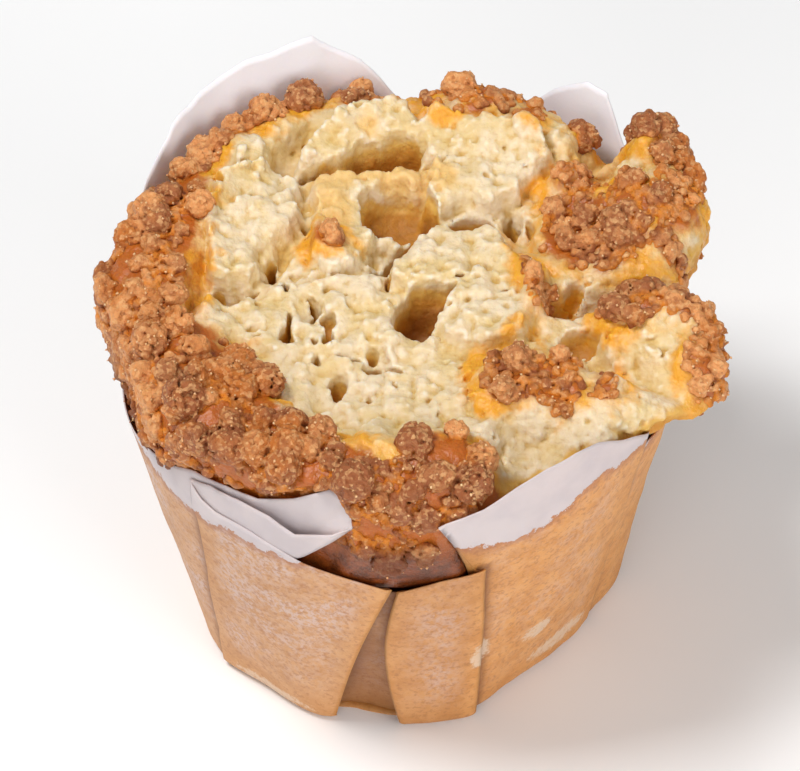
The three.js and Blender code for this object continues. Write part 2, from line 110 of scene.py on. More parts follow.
# Raised blocks of torn crumb: rise, width of the slope round them, outline as x, y
BLOCKS = [
    [2.3, 1.0, (-26.6, 1.2), (-25, 0.6), (-21, 1.4), (-19.2, 3.8), (-18.6, 8.6), (-16, 10), (-15.4, 13),
     (-15.2, 19.6), (-17.6, 20.6), (-20, 21.4), (-22.4, 20.2), (-25.6, 18.6), (-27.2, 13.6), (-26.8, 6)],
    [2.6, 0.9, (-16, 22.6), (-13.6, 26.4), (-11.6, 28.6), (-9.6, 29.8), (-6, 32), (-3, 32.8),
     (0, 32.2), (1, 29), (0.8, 25.8), (-4.6, 26), (-7.4, 23.6), (-8.2, 21.9), (-11, 21.6), (-13.8, 21.6)],
    [2.5, 0.9, (0.6, 28.4), (3, 30.4), (5, 30.2), (8, 28.8), (10, 29.2), (13, 27.8), (16, 28),
     (17.6, 25.8), (18.8, 23), (17, 21), (15.4, 19.8), (14.2, 17), (12.4, 16.4), (10.2, 15.8), (8, 17),
     (6, 16.4), (4.6, 15.2), (3, 14), (2, 16.6), (2.8, 20), (2.6, 22.4), (1, 23.4), (1.2, 26)],
    [2.2, 0.9, (1.6, 12.4), (5.4, 11.4), (5.8, 10.4), (10, 11), (11.6, 9.2), (12.4, 6), (15, 2),
     (17, -4), (14, -9), (8, -10), (4.5, -8), (3, -5.6), (4.4, -3), (5.6, -0.6), (3, -0.8), (1.8, 0.2),
     (0, -0.6), (-1.2, 0.4), (-3, 3), (-2.6, 6), (-0.6, 8), (1.4, 10)],
    [1.7, 0.8, (-13.2, 19), (-11.6, 20.6), (-8, 21), (-5, 22), (-3, 23.4), (0, 22.6), (3, 22.2),
     (3.2, 19), (0, 18.8), (-2, 19.8), (-4.6, 18.8), (-6, 16), (-6.8, 15), (-6, 12.6), (-5.2, 10.8),
     (-6, 8), (-8, 4), (-11, 3.4), (-13.4, 6), (-13.8, 12)],
    [0.9, 1.2, (-19, 0.6), (-14, 2), (-9, 3), (-5, 2), (-3.4, -0.6), (-3, -5), (-1.6, -8), (-2, -11.6),
     (-6, -10), (-10, -11), (-18, -11), (-25, -8), (-28.6, -5), (-27, -2.4), (-24, -1.6)],
    [1.5, 1.4, (19, 19), (22.6, 19.6), (23.6, 24), (20.6, 28.4), (18.6, 28.6), (19.8, 24)],
]
CRUMB_LOW = 1.2  # how far the torn crumb lies under the rim
# Holes torn in the crumb: x, y, half sizes along and across, turn, depth below the crown
HOLES = [
    [0.6, -3.8, 3.7, 2.6, 70, 7.0], [2.4, -2.0, 2.2, 1.8, 20, 6.2], [4.2, -0.9, 1.6, 0.5, 20, 4.0],
    [0.8, -6.6, 1.8, 1.2, -60, 7.0],
    [-2.0, 14.8, 4.5, 3.6, 5, 4.8], [-4.6, 13.0, 2.0, 2.4, 0, 4.4], [1.2, 11.4, 1.3, 2.2, -20, 5.5],
    [2.4, 14.2, 1.8, 0.8, -50, 4.5],
    [7.6, 12.6, 3.0, 1.9, 8, 4.6], [10.9, 10.6, 1.5, 0.45, -60, 4.0], [13.2, 14.2, 0.9, 1.6, 10, 4.0],
    [-4.0, 23.6, 5.0, 2.1, 12, 4.8], [-1.0, 25.4, 2.6, 1.2, -5, 4.2], [-11.4, 22.0, 1.9, 0.65, 5, 3.4],
    [-14.6, 21.2, 1.0, 0.35, 20, 3.4],
    [-1.6, 8.2, 2.8, 0.75, 42, 4.6], [-4.0, 5.4, 1.1, 0.8, 0, 4.4], [-3.2, 2.2, 1.9, 0.28, 80, 3.0],
    [-5.2, 4.8, 0.9, 0.4, -50, 4.0],
    [-16.1, -5.4, 1.5, 0.5, 88, 3.8], [-16.3, -8.0, 1.5, 0.95, 80, 4.4],
    [-13.2, -1.8, 1.5, 0.3, 112, 3.4], [-12.5, -3.8, 1.0, 0.5, 80, 3.6],
    [-11.0, -5.8, 1.5, 0.7, 84, 3.6], [-11.1, -8.7, 1.1, 0.95, 84, 4.6],
    [-9.7, -16.0, 1.7, 1.1, 84, 4.4], [-5.3, -10.8, 0.8, 0.8, 0, 3.0], [-5.4, -12.9, 1.2, 0.7, 0, 3.8],
    [-18.7, 5.8, 1.3, 0.6, 70, 5.0], [-25.4, -0.4, 1.0, 1.2, 10, 4.0], [-21.0, 0.6, 0.7, 0.4, 30, 3.2],
    [-22.6, 0.2, 0.4, 0.3, 0, 3.0], [-16.7, 1.0, 1.4, 0.38, 82, 3.6], [21.4, -8.2, 2.4, 1.8, 20, 4.2],
    [21.2, 0.8, 1.4, 0.7, 30, 4.0], [18.6, -1.6, 0.9, 0.4, 60, 3.2], [12.0, -1.4, 0.5, 0.25, 0, 2.4],
    [9.2, 2.2, 0.35, 0.25, 0, 2.2], [6.2, 1.2, 0.6, 0.25, 30, 2.2], [-14.2, 12.2, 0.35, 0.8, 20, 2.2],
    [-13.6, 10.3, 0.6, 0.35, 0, 3.0], [-8.4, -11.6, 1.5, 0.22, -8, 3.0], [-2.4, -13.2, 1.2, 0.22, -36, 2.6],
    [-12.6, -12.0, 0.35, 0.8, 0, 2.4], [-12.9, -9.2, 0.3, 0.8, 20, 2.4], [-5.8, -18.6, 0.35, 0.7, 0, 2.2],
    [-25.6, 17.4, 0.5, 1.4, 20, 2.6], [15.4, 12.8, 0.6, 1.4, 20, 2.4], [-2.4, -16.2, 0.6, 0.5, 0, 1.6],
]

# Where streusel lies: inner radius of the ring, and patches as x, y, half sizes, turn
STREUSEL_INNER = [
    [-165, 36.0], [-146, 34.0], [-133, 33.0], [-118, 30.0], [-105, 27.6], [-90, 28.4], [-76, 29.0],
    [-64, 23.6], [-45, 26.0], [-28, 28.6], [-14, 28.4], [-6, 32.0], [-1, 28.6], [8, 26.6],
    [15, 28.0], [20, 36.0], [40, 46], [140, 46], [150, 34.0], [162, 33.5], [172, 35.5],
]
STREUSEL_FOOT = [
    [-150, 44.5], [-110, 44.0], [-96, 43.4], [-66, 43.4], [-58, 45.5], [-48, 49.0], [-18, 48.5],
    [-11, 45.8], [-3, 45.6], [3, 47.0], [7, 50.0], [12, 54.0], [20, 57], [48, 56.5], [58, 53.0], [74, 51.0],
    [80, 51], [88, 53], [100, 52], [130, 51], [140, 50], [155, 46.5],
]
STREUSEL_PATCHES = [
    [21, 12, 4.6, 8.2, -5], [28.5, 10.5, 4.5, 5.6, 10], [34.5, 13, 4.0, 5.6, -20],
    [27, 4.6, 6.0, 2.4, -5], [33, 7, 3.5, 3.6, 0], [33.5, 28, 5.0, 4.0, -30], [37.5, 22, 3.4, 5.0, 20],
    [28.5, -4.6, 5.6, 3.6, -8], [35.0, -4.4, 5.4, 3.8, -20], [39.0, -8.5, 3.0, 6.5, 10],
    [38.0, -14.5, 3.0, 3.8, -20], [12.5, -16.2, 4.8, 4.4, 0], [18.5, -17.6, 4.0, 4.2, 0],
    [24.5, -18.5, 3.0, 3.6, 0], [15.6, 0.8, 2.4, 6.2, 6], [23.5, 31, 3.4, 3.4, 40],
    [8, 31.5, 3.2, 1.8, 0], [3.2, 33, 1.4, 2.0, 0], [-11, 8, 2.1, 2.1, 0],
    [-6, 35.5, 12, 1.6, 4], [10, 33.5, 6, 2.4, -6], [16, 31, 3, 3, 0], [34, 25, 4.5, 3.6, -40],
    [28, -6, 4.5, 3.0, -8],
]

# Free edge of the paper, and how far it bends off the cone of the cup
PAPER_EDGE = [
    [-172, 57], [-162, 65.2], [-141, 64], [-131, 62.3], [-121, 58], [-112, 55.5], [-100, 47],
    [-80, 45], [-71, 44.8], [-62, 46], [-51, 50], [-47.5, 49], [-36, 46.6], [-20, 42.2],
    [-4.4, 38.6], [-3.6, 38.2], [14.2, 41.2], [15.2, 56], [22, 60], [34, 62], [43, 59.2],
    [50.5, 55.4], [55, 52.6], [60, 47], [116, 47], [128, 51], [136, 54.3], [146, 61.3],
    [153, 58], [162, 50], [176, 50],
]
EDGE_BEND = [
    [-172, -0.6], [-160, -0.8], [-120, -0.8], [-100, -0.4], [-40, 0], [0, 0], [20, -1.0],
    [35, -2.0], [50, -1.2], [70, 0], [120, 0], [145, -0.4], [160, -0.4],
]


def around(outline, azimuth):
    """Value of a closed outline at an azimuth, slightly rounded at its corners."""
    at, value = np.array(outline, float).T
    turns = (-2.0, 0.0, 2.0)
    return sum(np.interp(azimuth + turn, at, value, period=360) for turn in turns) / len(turns)


def smoothstep(value, low, high):
    share = np.clip((value - low) / (high - low), 0, 1)
    return share * share * (3 - 2 * share)


def smooth_max(a, b, size):
    """Larger of two distances, rounded where they meet."""
    blend = np.clip(0.5 + 0.5 * (a - b) / size, 0, 1)
    return b + (a - b) * blend + size * blend * (1 - blend)


def plan_point(azimuth, radius, z):
    turn = np.radians(azimuth)
    return np.stack([radius * np.sin(turn), -radius * np.cos(turn), z + 0 * radius], axis=-1)


LATTICE = np.random.default_rng(7).random((4, 65536)).astype(np.float32)
FAR_OFF = 9.0
PORE_SHARE = 0.4


def lattice_value(cell, seed, channel=0):
    """A repeatable random number for each integer cell."""
    x, y, z = (cell[..., i].astype(np.int64) for i in range(3))
    key = x * 73856093 ^ y * 19349663 ^ z * 83492791 ^ (seed * 2654435761)
    key = (key ^ (key >> 15)) & 0xFFFF
    return LATTICE[channel][key]


def between_corners(share, value_at):
    """Value inside a cell from the values at its eight corners."""
    total = 0.0
    for corner in itertools.product((0, 1), repeat=3):
        weight = 1.0
        for axis, step in enumerate(corner):
            weight = weight * (share[..., axis] if step else 1 - share[..., axis])
        total = total + weight * value_at(np.array(corner))
    return total


def smooth_noise(points, size, seed=0):
    """Value noise from -1 to 1 with lumps about size across."""
    at = points / size
    cell = np.floor(at)
    share = at - cell
    share = share * share * (3 - 2 * share)
    cell = cell.astype(np.int32)
    return 2 * between_corners(share, lambda corner: lattice_value(cell + corner, seed)) - 1


def nearest_spot(points, size, seed, margin, share=None):
    """Squared distance, in cells, to the nearest of the spots scattered in all or a share of the cells."""
    at = points / size
    cell = np.floor(at).astype(np.int32)
    nearest = np.full(at.shape[:-1], FAR_OFF, np.float32)
    for step in itertools.product((-1, 0, 1), repeat=3):
        near = cell + np.array(step)
        away = 0.0 if share is None else np.where(lattice_value(near, seed) < share, 0.0, FAR_OFF)
        for axis in range(3):
            spot = near[..., axis] + margin + (1 - 2 * margin) * lattice_value(near, seed, axis + 1)
            away = away + (at[..., axis] - spot) ** 2
        nearest = np.minimum(nearest, away)
    return nearest


def lumps(points, size, seed):
    """Rounded lumps: 1 at the middle of each, 0 in the creases between them."""
    return np.clip(1 - nearest_spot(points, size, seed, 0.15) / 0.75, 0, 1)


def pores(points, size, radius, seed):
    """1 at the middle of small round pores scattered through the crumb, 0 outside them."""
    away = np.sqrt(nearest_spot(points, size, seed, 0.1, PORE_SHARE)) * size
    return 1 - smoothstep(away, 0.35 * radius, radius)


def bell(row, x, y):
    """Squared distance in a turned ellipse: 0 at its centre and 1 on its outline."""
    centre_x, centre_y, along, across, turn = row[:5]
    cos, sin = math.cos(math.radians(turn)), math.sin(math.radians(turn))
    u = (x - centre_x) * cos + (y - centre_y) * sin
    v = (y - centre_y) * cos - (x - centre_x) * sin
    return (u / along) ** 2 + (v / across) ** 2


def inside_outline(outline, x, y):
    """Distance to a closed outline in the plan: positive inside it."""
    corners = np.array(outline, float)
    away = np.full(np.shape(x), 1e9)
    within = np.zeros(np.shape(x), bool)
    for (ax, ay), (bx, by) in zip(corners, np.roll(corners, -1, axis=0)):
        length = (bx - ax) ** 2 + (by - ay) ** 2
        share = np.clip(((x - ax) * (bx - ax) + (y - ay) * (by - ay)) / length, 0, 1)
        away = np.minimum(away, np.hypot(x - ax - share * (bx - ax), y - ay - share * (by - ay)))
        crossed = (ay > y) != (by > y)
        within ^= crossed & (x < ax + (y - ay) / np.where(by == ay, 1e-9, by - ay) * (bx - ax))
    return np.where(within, away, -away)


def crown_height(x, y):
    """Height of the crown's upper side, without its holes."""
    azimuth = np.degrees(np.arctan2(x, -y))
    rim = smoothstep(np.hypot(x, y), 23, 33) * around(RIM_LEVEL, azimuth)
    streusel = around(STREUSEL_COVER, azimuth) * smoothstep(np.hypot(x, y), 24, 32)
    height = CROWN_TOP + RIM_RISE * rim + 0.7 * streusel
    crumb = 1 - smoothstep(streusel_depth(x, y), -1.5, 1.5)
    height = height - CRUMB_LOW * crumb
    flat = np.stack([x, y, 0 * x], axis=-1)
    ragged_x = x + 0.8 * smooth_noise(flat, 2.6, 21) + 0.3 * smooth_noise(flat, 1.1, 22)
    ragged_y = y + 0.8 * smooth_noise(flat, 2.6, 23) + 0.3 * smooth_noise(flat, 1.1, 24)
    for row in MOUNDS:
        height = height + row[5] * np.exp(-bell(row, ragged_x, ragged_y) ** 1.8)
    for row in HOLLOWS:
        height = height - row[5] * np.exp(-bell(row, ragged_x, ragged_y) ** 1.8)
    for rise, slope, *outline in BLOCKS:
        inside = inside_outline(outline, ragged_x, ragged_y)
        height = height + 1.2 * rise * smoothstep(inside, -0.75 * slope, 0.75 * slope)
    return height


def cup_radius(azimuth, z):
    foot, rim = around(PAPER_FOOT, azimuth), around(PAPER_RIM, azimuth)
    return foot + (rim - foot) * z / RIM_HEIGHT


def streusel_depth(x, y):
    """How far inside the streusel a place of the plan is: negative on bare crumb."""
    azimuth = np.degrees(np.arctan2(x, -y))
    flat = np.stack([x, y, 0 * x], axis=-1)
    ragged = 1.4 * smooth_noise(flat, 4.0, 11) + 0.8 * smooth_noise(flat, 1.8, 12)
    depth = np.hypot(x, y) - around(STREUSEL_INNER, azimuth)
    for row in STREUSEL_PATCHES:
        depth = np.maximum(depth, (1.2 - np.sqrt(bell(row, x, y))) * min(row[2], row[3]))
    return depth + ragged


class Grid:
    """A box of evenly spaced points with a distance at each: negative inside the shape."""

    def __init__(self, low, high, step):
        self.low, self.step = np.array(low, float), step
        self.shape = tuple(np.ceil((np.array(high) - self.low) / step).astype(int) + 1)
        axes = [self.low[i] + step * np.arange(self.shape[i]) for i in range(3)]
        self.x = axes[0][:, None, None].astype(np.float32)
        self.y = axes[1][None, :, None].astype(np.float32)
        self.z = axes[2][None, None, :].astype(np.float32)

    def points(self, mask):
        cells = np.argwhere(mask)
        return (self.low + cells * self.step).astype(np.float32)

    def sample(self, field, points):
        """Field between the grid's points."""
        at = np.clip((points - self.low) / self.step, 0, np.array(self.shape) - 1.001)
        cell = np.floor(at).astype(int)
        return between_corners(at - cell, lambda corner: field[tuple((cell + corner).T)])

    def skin(self, field):
        """Closed mesh of four-cornered faces where the field crosses zero."""
        field[[0, -1]] = field[:, [0, -1]] = field[:, :, [0, -1]] = self.step
        inside = field < 0
        corners = [
            inside[i : i - 1 or None, j : j - 1 or None, k : k - 1 or None]
            for i, j, k in itertools.product((0, 1), repeat=3)
        ]
        count = sum(corner.astype(np.int8) for corner in corners)
        mixed = (count > 0) & (count < 8)
        number = np.full(mixed.shape, -1, np.int32)
        number[mixed] = np.arange(mixed.sum())
        cells = np.argwhere(mixed)
        total = np.zeros((len(cells), 3))
        hits = np.zeros(len(cells))
        for axis in range(3):
            along = np.eye(3, dtype=int)[axis]
            for a, b in itertools.product((0, 1), repeat=2):
                start = np.zeros(3, int)
                start[(axis + 1) % 3], start[(axis + 2) % 3] = a, b
                first = field[tuple((cells + start).T)]
                second = field[tuple((cells + start + along).T)]
                cross = (first < 0) != (second < 0)
                share = first[cross] / (first[cross] - second[cross])
                total[cross] += start + share[:, None] * along
                hits[cross] += 1
        points = self.low + (cells + total / hits[:, None]) * self.step
        faces = []
        for axis in range(3):
            along, side, up = (np.eye(3, dtype=int)[(axis + i) % 3] for i in range(3))
            lower = [slice(None)] * 3
            upper = [slice(None)] * 3
            lower[axis], upper[axis] = slice(0, -1), slice(1, None)
            change = inside[tuple(lower)] != inside[tuple(upper)]
            edges = np.argwhere(change)
            edges = edges[(edges[:, (axis + 1) % 3] > 0) & (edges[:, (axis + 2) % 3] > 0)]
            quad = np.stack(
                [number[tuple((edges - back).T)] for back in (side + up, up, 0 * up, side)], axis=1
            )
            outward = inside[tuple(edges.T)]
            faces.append(np.where(outward[:, None], quad, quad[:, ::-1]))
        return points, np.concatenate(faces)


def vertex_normals(points, faces):
    """Area-weighted normals of a mesh of four-cornered faces."""
    first = points[faces[:, 2]] - points[faces[:, 0]]
    second = points[faces[:, 3]] - points[faces[:, 1]]
    normal = np.cross(first, second)
    total = np.zeros_like(points)
    for corner in range(4):
        for axis in range(3):
            total[:, axis] += np.bincount(faces[:, corner], normal[:, axis], len(points))
    return total / np.maximum(np.linalg.norm(total, axis=1, keepdims=True), 1e-12)


def neighbour_mean(values, faces):
    """Mean of each vertex's neighbours along the faces' edges."""
    total = np.zeros_like(values)
    count = np.zeros(len(values))
    for corner in range(4):
        for near in (faces[:, (corner + 1) % 4], faces[:, (corner + 3) % 4]):
            count += np.bincount(faces[:, corner], minlength=len(values))
            for axis in range(values.shape[1]):
                total[:, axis] += np.bincount(faces[:, corner], values[near, axis], len(values))
    return total / np.maximum(count, 1)[:, None]


def crest_of(points, faces, rounds):
    """How far each vertex stands proud of its surroundings: negative in creases."""
    smooth = points
    for _ in range(rounds):
        smooth = neighbour_mean(smooth, faces)
    return np.einsum("ij,ij->i", points - smooth, vertex_normals(points, faces))


def piece(name, points, faces, material, replaces=(), slot=None, **attributes):
    """A mesh object in metres that rides on the muffin, with one value per vertex for each name."""
    mesh = bpy.data.meshes.new(name)
    corners = faces.shape[1]
    mesh.vertices.add(len(points))
    mesh.vertices.foreach_set("co", (points * MM).astype(np.float32).ravel())
    mesh.loops.add(faces.size)
    mesh.loops.foreach_set("vertex_index", faces.astype(np.int32).ravel())
    mesh.polygons.add(len(faces))
    mesh.polygons.foreach_set("loop_start", np.arange(0, faces.size, corners, dtype=np.int32))
    mesh.polygons.foreach_set("use_smooth", np.ones(len(faces), bool))
    mesh.update(calc_edges=True)
    for key, values in attributes.items():
        layer = mesh.attributes.new(key, "FLOAT", "POINT")
        layer.data.foreach_set("value", np.asarray(values, np.float32))
    mesh.materials.append(material)
    thing = bpy.data.objects.new(name, mesh)
    bpy.context.scene.collection.objects.link(thing)
    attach(thing, "root")
    if replaces:
        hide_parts(*replaces)
    return thing


# The cake's crown
SKIN_BAND = 2.2  # how far from the skin its relief is worked out
SHOULDER_ROUND = 2.0
BULGE_POWER = 0.43  # lower is squarer
CRAG_SIZE = 3.8
CRUMB_SIZE = 1.8
CURD_SIZE = 0.95
PORE_GAP = 2.6
PORE_RADIUS = 0.75


def crown_field(grid):
    """Distance to the cake's crown before its fine lumps."""
    x, y, z = grid.x, grid.y, grid.z
    flat_x, flat_y = np.broadcast_arrays(x[:, :, 0], y[:, :, 0])
    azimuth = np.degrees(np.arctan2(flat_x, -flat_y))
    radius = np.hypot(flat_x, flat_y)
    edge = around(CROWN_EDGE, azimuth) + 0.1 * around(STREUSEL_COVER, azimuth)
    foot = around(LIP_FOOT, azimuth)
    shoulder = plan_point(azimuth, edge - LIP_ROUND, 0)
    top = crown_height(shoulder[..., 0], shoulder[..., 1])
    height = crown_height(flat_x, flat_y)
    expand = lambda plan: plan[:, :, None].astype(np.float32)
    share = np.clip((z - expand(foot)) / expand(top - foot), 0, 1)
    bulge = np.clip(1 - (2 * share - 1) ** 2, 0, 1) ** BULGE_POWER
    wall_foot, wall_rim = around(PAPER_FOOT, azimuth), around(PAPER_RIM, azimuth)
    wall = expand(wall_foot) + expand(wall_rim - wall_foot) * np.minimum(z, expand(foot)) / RIM_HEIGHT
    near = 0.6 * smoothstep(z, 36, 40) + 1.1 * front_dip(expand(azimuth), z) * smoothstep(z, 35.5, 38)
    inner = np.where(share < 0.5, wall - WALL_GAP + near, expand(edge - LIP_ROUND))
    side = expand(radius) - (inner + (expand(edge) - inner) * bulge)
    above = z - expand(height)
    field = smooth_max(side, above, SHOULDER_ROUND)
    return field, expand(height)


def cut_holes(grid, field, height):
    """Tears each hole of HOLES out of the crown."""
    wobble_points = np.stack(np.broadcast_arrays(grid.x, grid.y, 0 * grid.x), axis=-1)[:, :, 0]
    wobble_x = 0.45 * smooth_noise(wobble_points, 1.5, 31)[:, :, None]
    wobble_y = 0.45 * smooth_noise(wobble_points, 1.5, 32)[:, :, None]
    for row in HOLES:
        row = [*row[:3], max(row[3], 0.42), *row[4:]]
        along, across, depth = row[2], row[3], row[5]
        reach = max(along, across) + 1.5
        spans = []
        for axis, centre in enumerate(row[:2]):
            start = int((centre - reach - grid.low[axis]) / grid.step)
            spans.append(slice(max(start, 0), start + int(2 * reach / grid.step) + 2))
        block = (*spans, slice(None))
        x = grid.x[spans[0]] + wobble_x[spans[0], spans[1]]
        y = grid.y[:, spans[1]] + wobble_y[spans[0], spans[1]]
        down = (height[spans[0], spans[1]] + 0.3 - grid.z) / depth
        ring = 0.86 * np.sqrt(bell(row, x, y))
        hollow = np.sqrt(ring**2 + np.where(down > 0.35, ((down - 0.35) / 0.65) ** 2, 0)) - 1
        hollow = hollow * min(along, across)
        field[block] = smooth_max(field[block], -hollow, 0.25)


def front_dip(azimuth, z):
    """1 where nothing stands before the cake at the front: between the flap and the right sheet's tip."""
    left = np.interp(z, [36, 39, 45, 49], [-34, -27, -20.5, -16])
    right = tip_edge(z)
    return smoothstep(azimuth, left, left + 3) * (1 - smoothstep(azimuth, right - 4, right - 0.5))


def tip_edge(z):
    """Azimuth of the slanting edge of the right sheet's tip."""
    return np.interp(z, [41, 53], [13.0, 4.4])


def clear_of_paper(grid, field):
    """Keeps the crown inside the paper and behind the folded flap."""
    azimuth = np.degrees(np.arctan2(grid.x, -grid.y))
    radius = np.hypot(grid.x, grid.y)
    return smooth_max(field, (radius - clear_radius(azimuth, grid.z)).astype(np.float32), 0.6)


# The folded flap: azimuth, radius of its layer and height of its top edge
FLAP_BACK = [
    [-58, 38.6, 47.0], [-47.5, 37.9, 50.6], [-40, 37.6, 51.4], [-33, 37.1, 51.8], [-24, 36.4, 54.2],
    [-19.4, 36.3, 55.4], [-16, 36.5, 56.8], [-13.4, 37.2, 55.4], [-11.8, 38.0, 54.2],
]


def make_cake(material, side_material):
    grid = Grid((-44, -41.5, 34), (47, 44.5, 65.5), CRUMB_STEP)
    field, height = crown_field(grid)
    field = clear_of_paper(grid, field)
    band = np.abs(field) < SKIN_BAND
    at = grid.points(band)
    bare = 1 - smoothstep(streusel_depth(at[:, 0], at[:, 1]), -0.5, 1.5)
    on_top = smoothstep(at[:, 2], 47, 52)
    rough = (0.25 + 0.75 * bare) * on_top
    warped = at + 0.8 * np.stack([smooth_noise(at, 2.5, seed) for seed in (41, 42, 43)], axis=1)
    push = 0.5 * smooth_noise(at, 6.5, 44)
    crags = 1.2 * (lumps(warped, CRAG_SIZE, 45) - 0.5)
    crags = crags + 0.7 * (lumps(warped, CRUMB_SIZE, 46) - 0.45)
    push = push + rough * crags
    push = push + 0.25 * on_top * smooth_noise(at, 1.2, 47)
    push = push - 0.8 * rough * pores(at, PORE_GAP, PORE_RADIUS, 50)
    tear = smooth_noise(at, 2.6, 48) * smooth_noise(at * [1, 1, 0.4], 1.4, 49)
    push = push - rough * 2.6 * np.clip(tear - 0.2, 0, 0.5)
    field[band] -= push * np.clip(0.15 + on_top, 0, 1)
    cut_holes(grid, field, height)
    points, faces = grid.skin(field)
    points, faces = drop_specks(points, faces)
    normals = vertex_normals(points, faces)
    fine = 0.2 * (lumps(points, CURD_SIZE, 51) - 0.4) + 0.1 * smooth_noise(points, 0.55, 52)
    points = points + normals * (fine * smoothstep(points[:, 2], 46, 50))[:, None]
    x, y, z = points.T
    depth = crown_height(x, y) - z
    streusel = streusel_depth(x, y)
    for row in BARE_GLAZE:
        streusel = np.maximum(streusel, 1.4 - 1.2 * bell(row, x, y))
    thing = piece(
        "cake_crown", points, faces, material, ["cake"], "cake",
        pit=np.clip((depth - 0.7) / 3.2, 0, 2) + torn(x, y) * smoothstep(depth, 0.0, 1.2),
        streusel=streusel,
        crest=crest_of(points, faces, 4),
        hill=crest_of(points, faces, 26),
        wall=1 - smoothstep(z, 43, 50),
        skin=golden_skin(x, y),
    )
    thin_out(thing)
    make_cake_foot(side_material)
    return grid, field, points, faces


def torn(x, y):
    """1 inside the holes and cracks of the crumb, 0 outside them."""
    return sum(0.55 * (1 - smoothstep(np.sqrt(bell(row, x, y)), 0.8, 1.3)) for row in HOLES)


def thin_out(thing):
    """Merges the flattest triangles of a piece that has too many."""
    thing.data.calc_loop_triangles()
    share = MOST_TRIANGLES / len(thing.data.loop_triangles)
    if share >= 1:
        return
    thinner = thing.modifiers.new("thinner", "DECIMATE")
    thinner.ratio = share
    graph = bpy.context.evaluated_depsgraph_get()
    thinned = bpy.data.meshes.new_from_object(thing.evaluated_get(graph))
    thing.modifiers.clear()
    thing.data = thinned


GOLDEN_SKIN = [
    [-4, 20.6, 9.5, 2.2, 2], [-11, 14.5, 3.2, 6.5, 10], [3, 19, 3.5, 2.5, -20], [-6, 27.5, 2.2, 2.0, 0],
    [-1, -31, 5, 4, 0], [24, 24, 6, 6, 0], [30, 2, 8, 3, 0],
]


def golden_skin(x, y):
    """Where the crumb has baked to a thin golden skin."""
    return np.clip(sum(np.exp(-bell(row, x, y)) for row in GOLDEN_SKIN), 0, 1)


FOOT_TOP = 36  # where the turned body ends inside the crown


def make_cake_foot(material):
    """The baked side and underside inside the paper, as a closed turned body."""
    columns = 180
    azimuth = np.arange(columns) * 360 / columns
    heights = np.array([0.8, 0.8, *np.linspace(1.6, FOOT_TOP, 24), FOOT_TOP + 0.5])
    rings = [np.tile([0, 0, heights[0]], (columns, 1))]
    for i, z in enumerate(heights[1:-1]):
        shrink = 1.8 if i == 0 else 0.0
        from_front = (azimuth + 10 + 180) % 360 - 180
        dent = 1.9 * np.exp(-(from_front / 15) ** 2) * (1 - smoothstep(z, 24, FOOT_TOP))
        rings.append(plan_point(azimuth, cup_radius(azimuth, z) - WALL_GAP - shrink - dent, z))
    rings.append(np.tile([0, 0, heights[-1]], (columns, 1)))
    points = np.concatenate(rings)
    ring, column = np.meshgrid(np.arange(len(rings) - 1), np.arange(columns), indexing="ij")
    right = (column + 1) % columns
    faces = np.stack(
        [ring * columns + column, ring * columns + right, (ring + 1) * columns + right,
         (ring + 1) * columns + column], axis=-1,
    ).reshape(-1, 4)
    foot = piece("cake_foot", points, faces, material, ["cake"], "cake", wall=np.ones(len(points)))
    weld(foot)


def weld(thing):
    """Joins vertices that lie on each other, as at the middle of a turned body."""
    shape = bmesh.new()
    shape.from_mesh(thing.data)
    bmesh.ops.remove_doubles(shape, verts=shape.verts, dist=1e-6)
    bmesh.ops.dissolve_degenerate(shape, edges=shape.edges, dist=1e-7)
    shape.to_mesh(thing.data)
    shape.free()
    thing.data.update()


# Streusel: granules splatted into a field, so that they fuse as they do when baked
def streusel_seeds(crown_points, crown_faces, random):
    """Random places on the crown inside the streusel, with their normals."""
    normals = vertex_normals(crown_points, crown_faces)
    x, y, z = crown_points.T
    depth = streusel_depth(x, y)
    azimuth = np.degrees(np.arctan2(x, -y))
    allowed = (depth > 1.1) & (z > around(STREUSEL_FOOT, azimuth))
    for row in BARE_GLAZE:
        allowed &= bell(row, x, y) > 1
    spots = np.flatnonzero(allowed)
    random.shuffle(spots)
    return crown_points[spots], normals[spots], depth[spots]


def spread(points, gap):
    """Indices of points at least gap apart, first come first kept."""
    kept = {}
    chosen = []
    cells = np.floor(points / gap).astype(int)
    for i, cell in enumerate(cells):
        near = [
            j
            for step in itertools.product((-1, 0, 1), repeat=3)
            for j in kept.get((cell[0] + step[0], cell[1] + step[1], cell[2] + step[2]), ())
        ]
        if near and min(((points[near] - points[i]) ** 2).sum(axis=1)) < gap * gap:
            continue
        kept.setdefault(tuple(cell), []).append(i)
        chosen.append(i)
    return np.array(chosen)


def heap(middle, whole, shade, random):
    """A lump of fused granules: centres, radii and tones."""
    count = int(22 * whole * whole)
    out = random.normal(size=(count, 3))
    out /= np.linalg.norm(out, axis=1, keepdims=True)
    small = random.uniform(0.24, 0.52, count)
    stretch = random.uniform(0.75, 1.1, 3)
    ball = middle + out * stretch * (whole - small[:, None] * 0.5)
    tones = np.clip(shade + random.normal(0, 0.14, count), 0, 1)
    core = np.array([whole * 0.86 * stretch.min()])
    return np.vstack([middle, ball]), np.append(core, small), np.append(shade, tones)


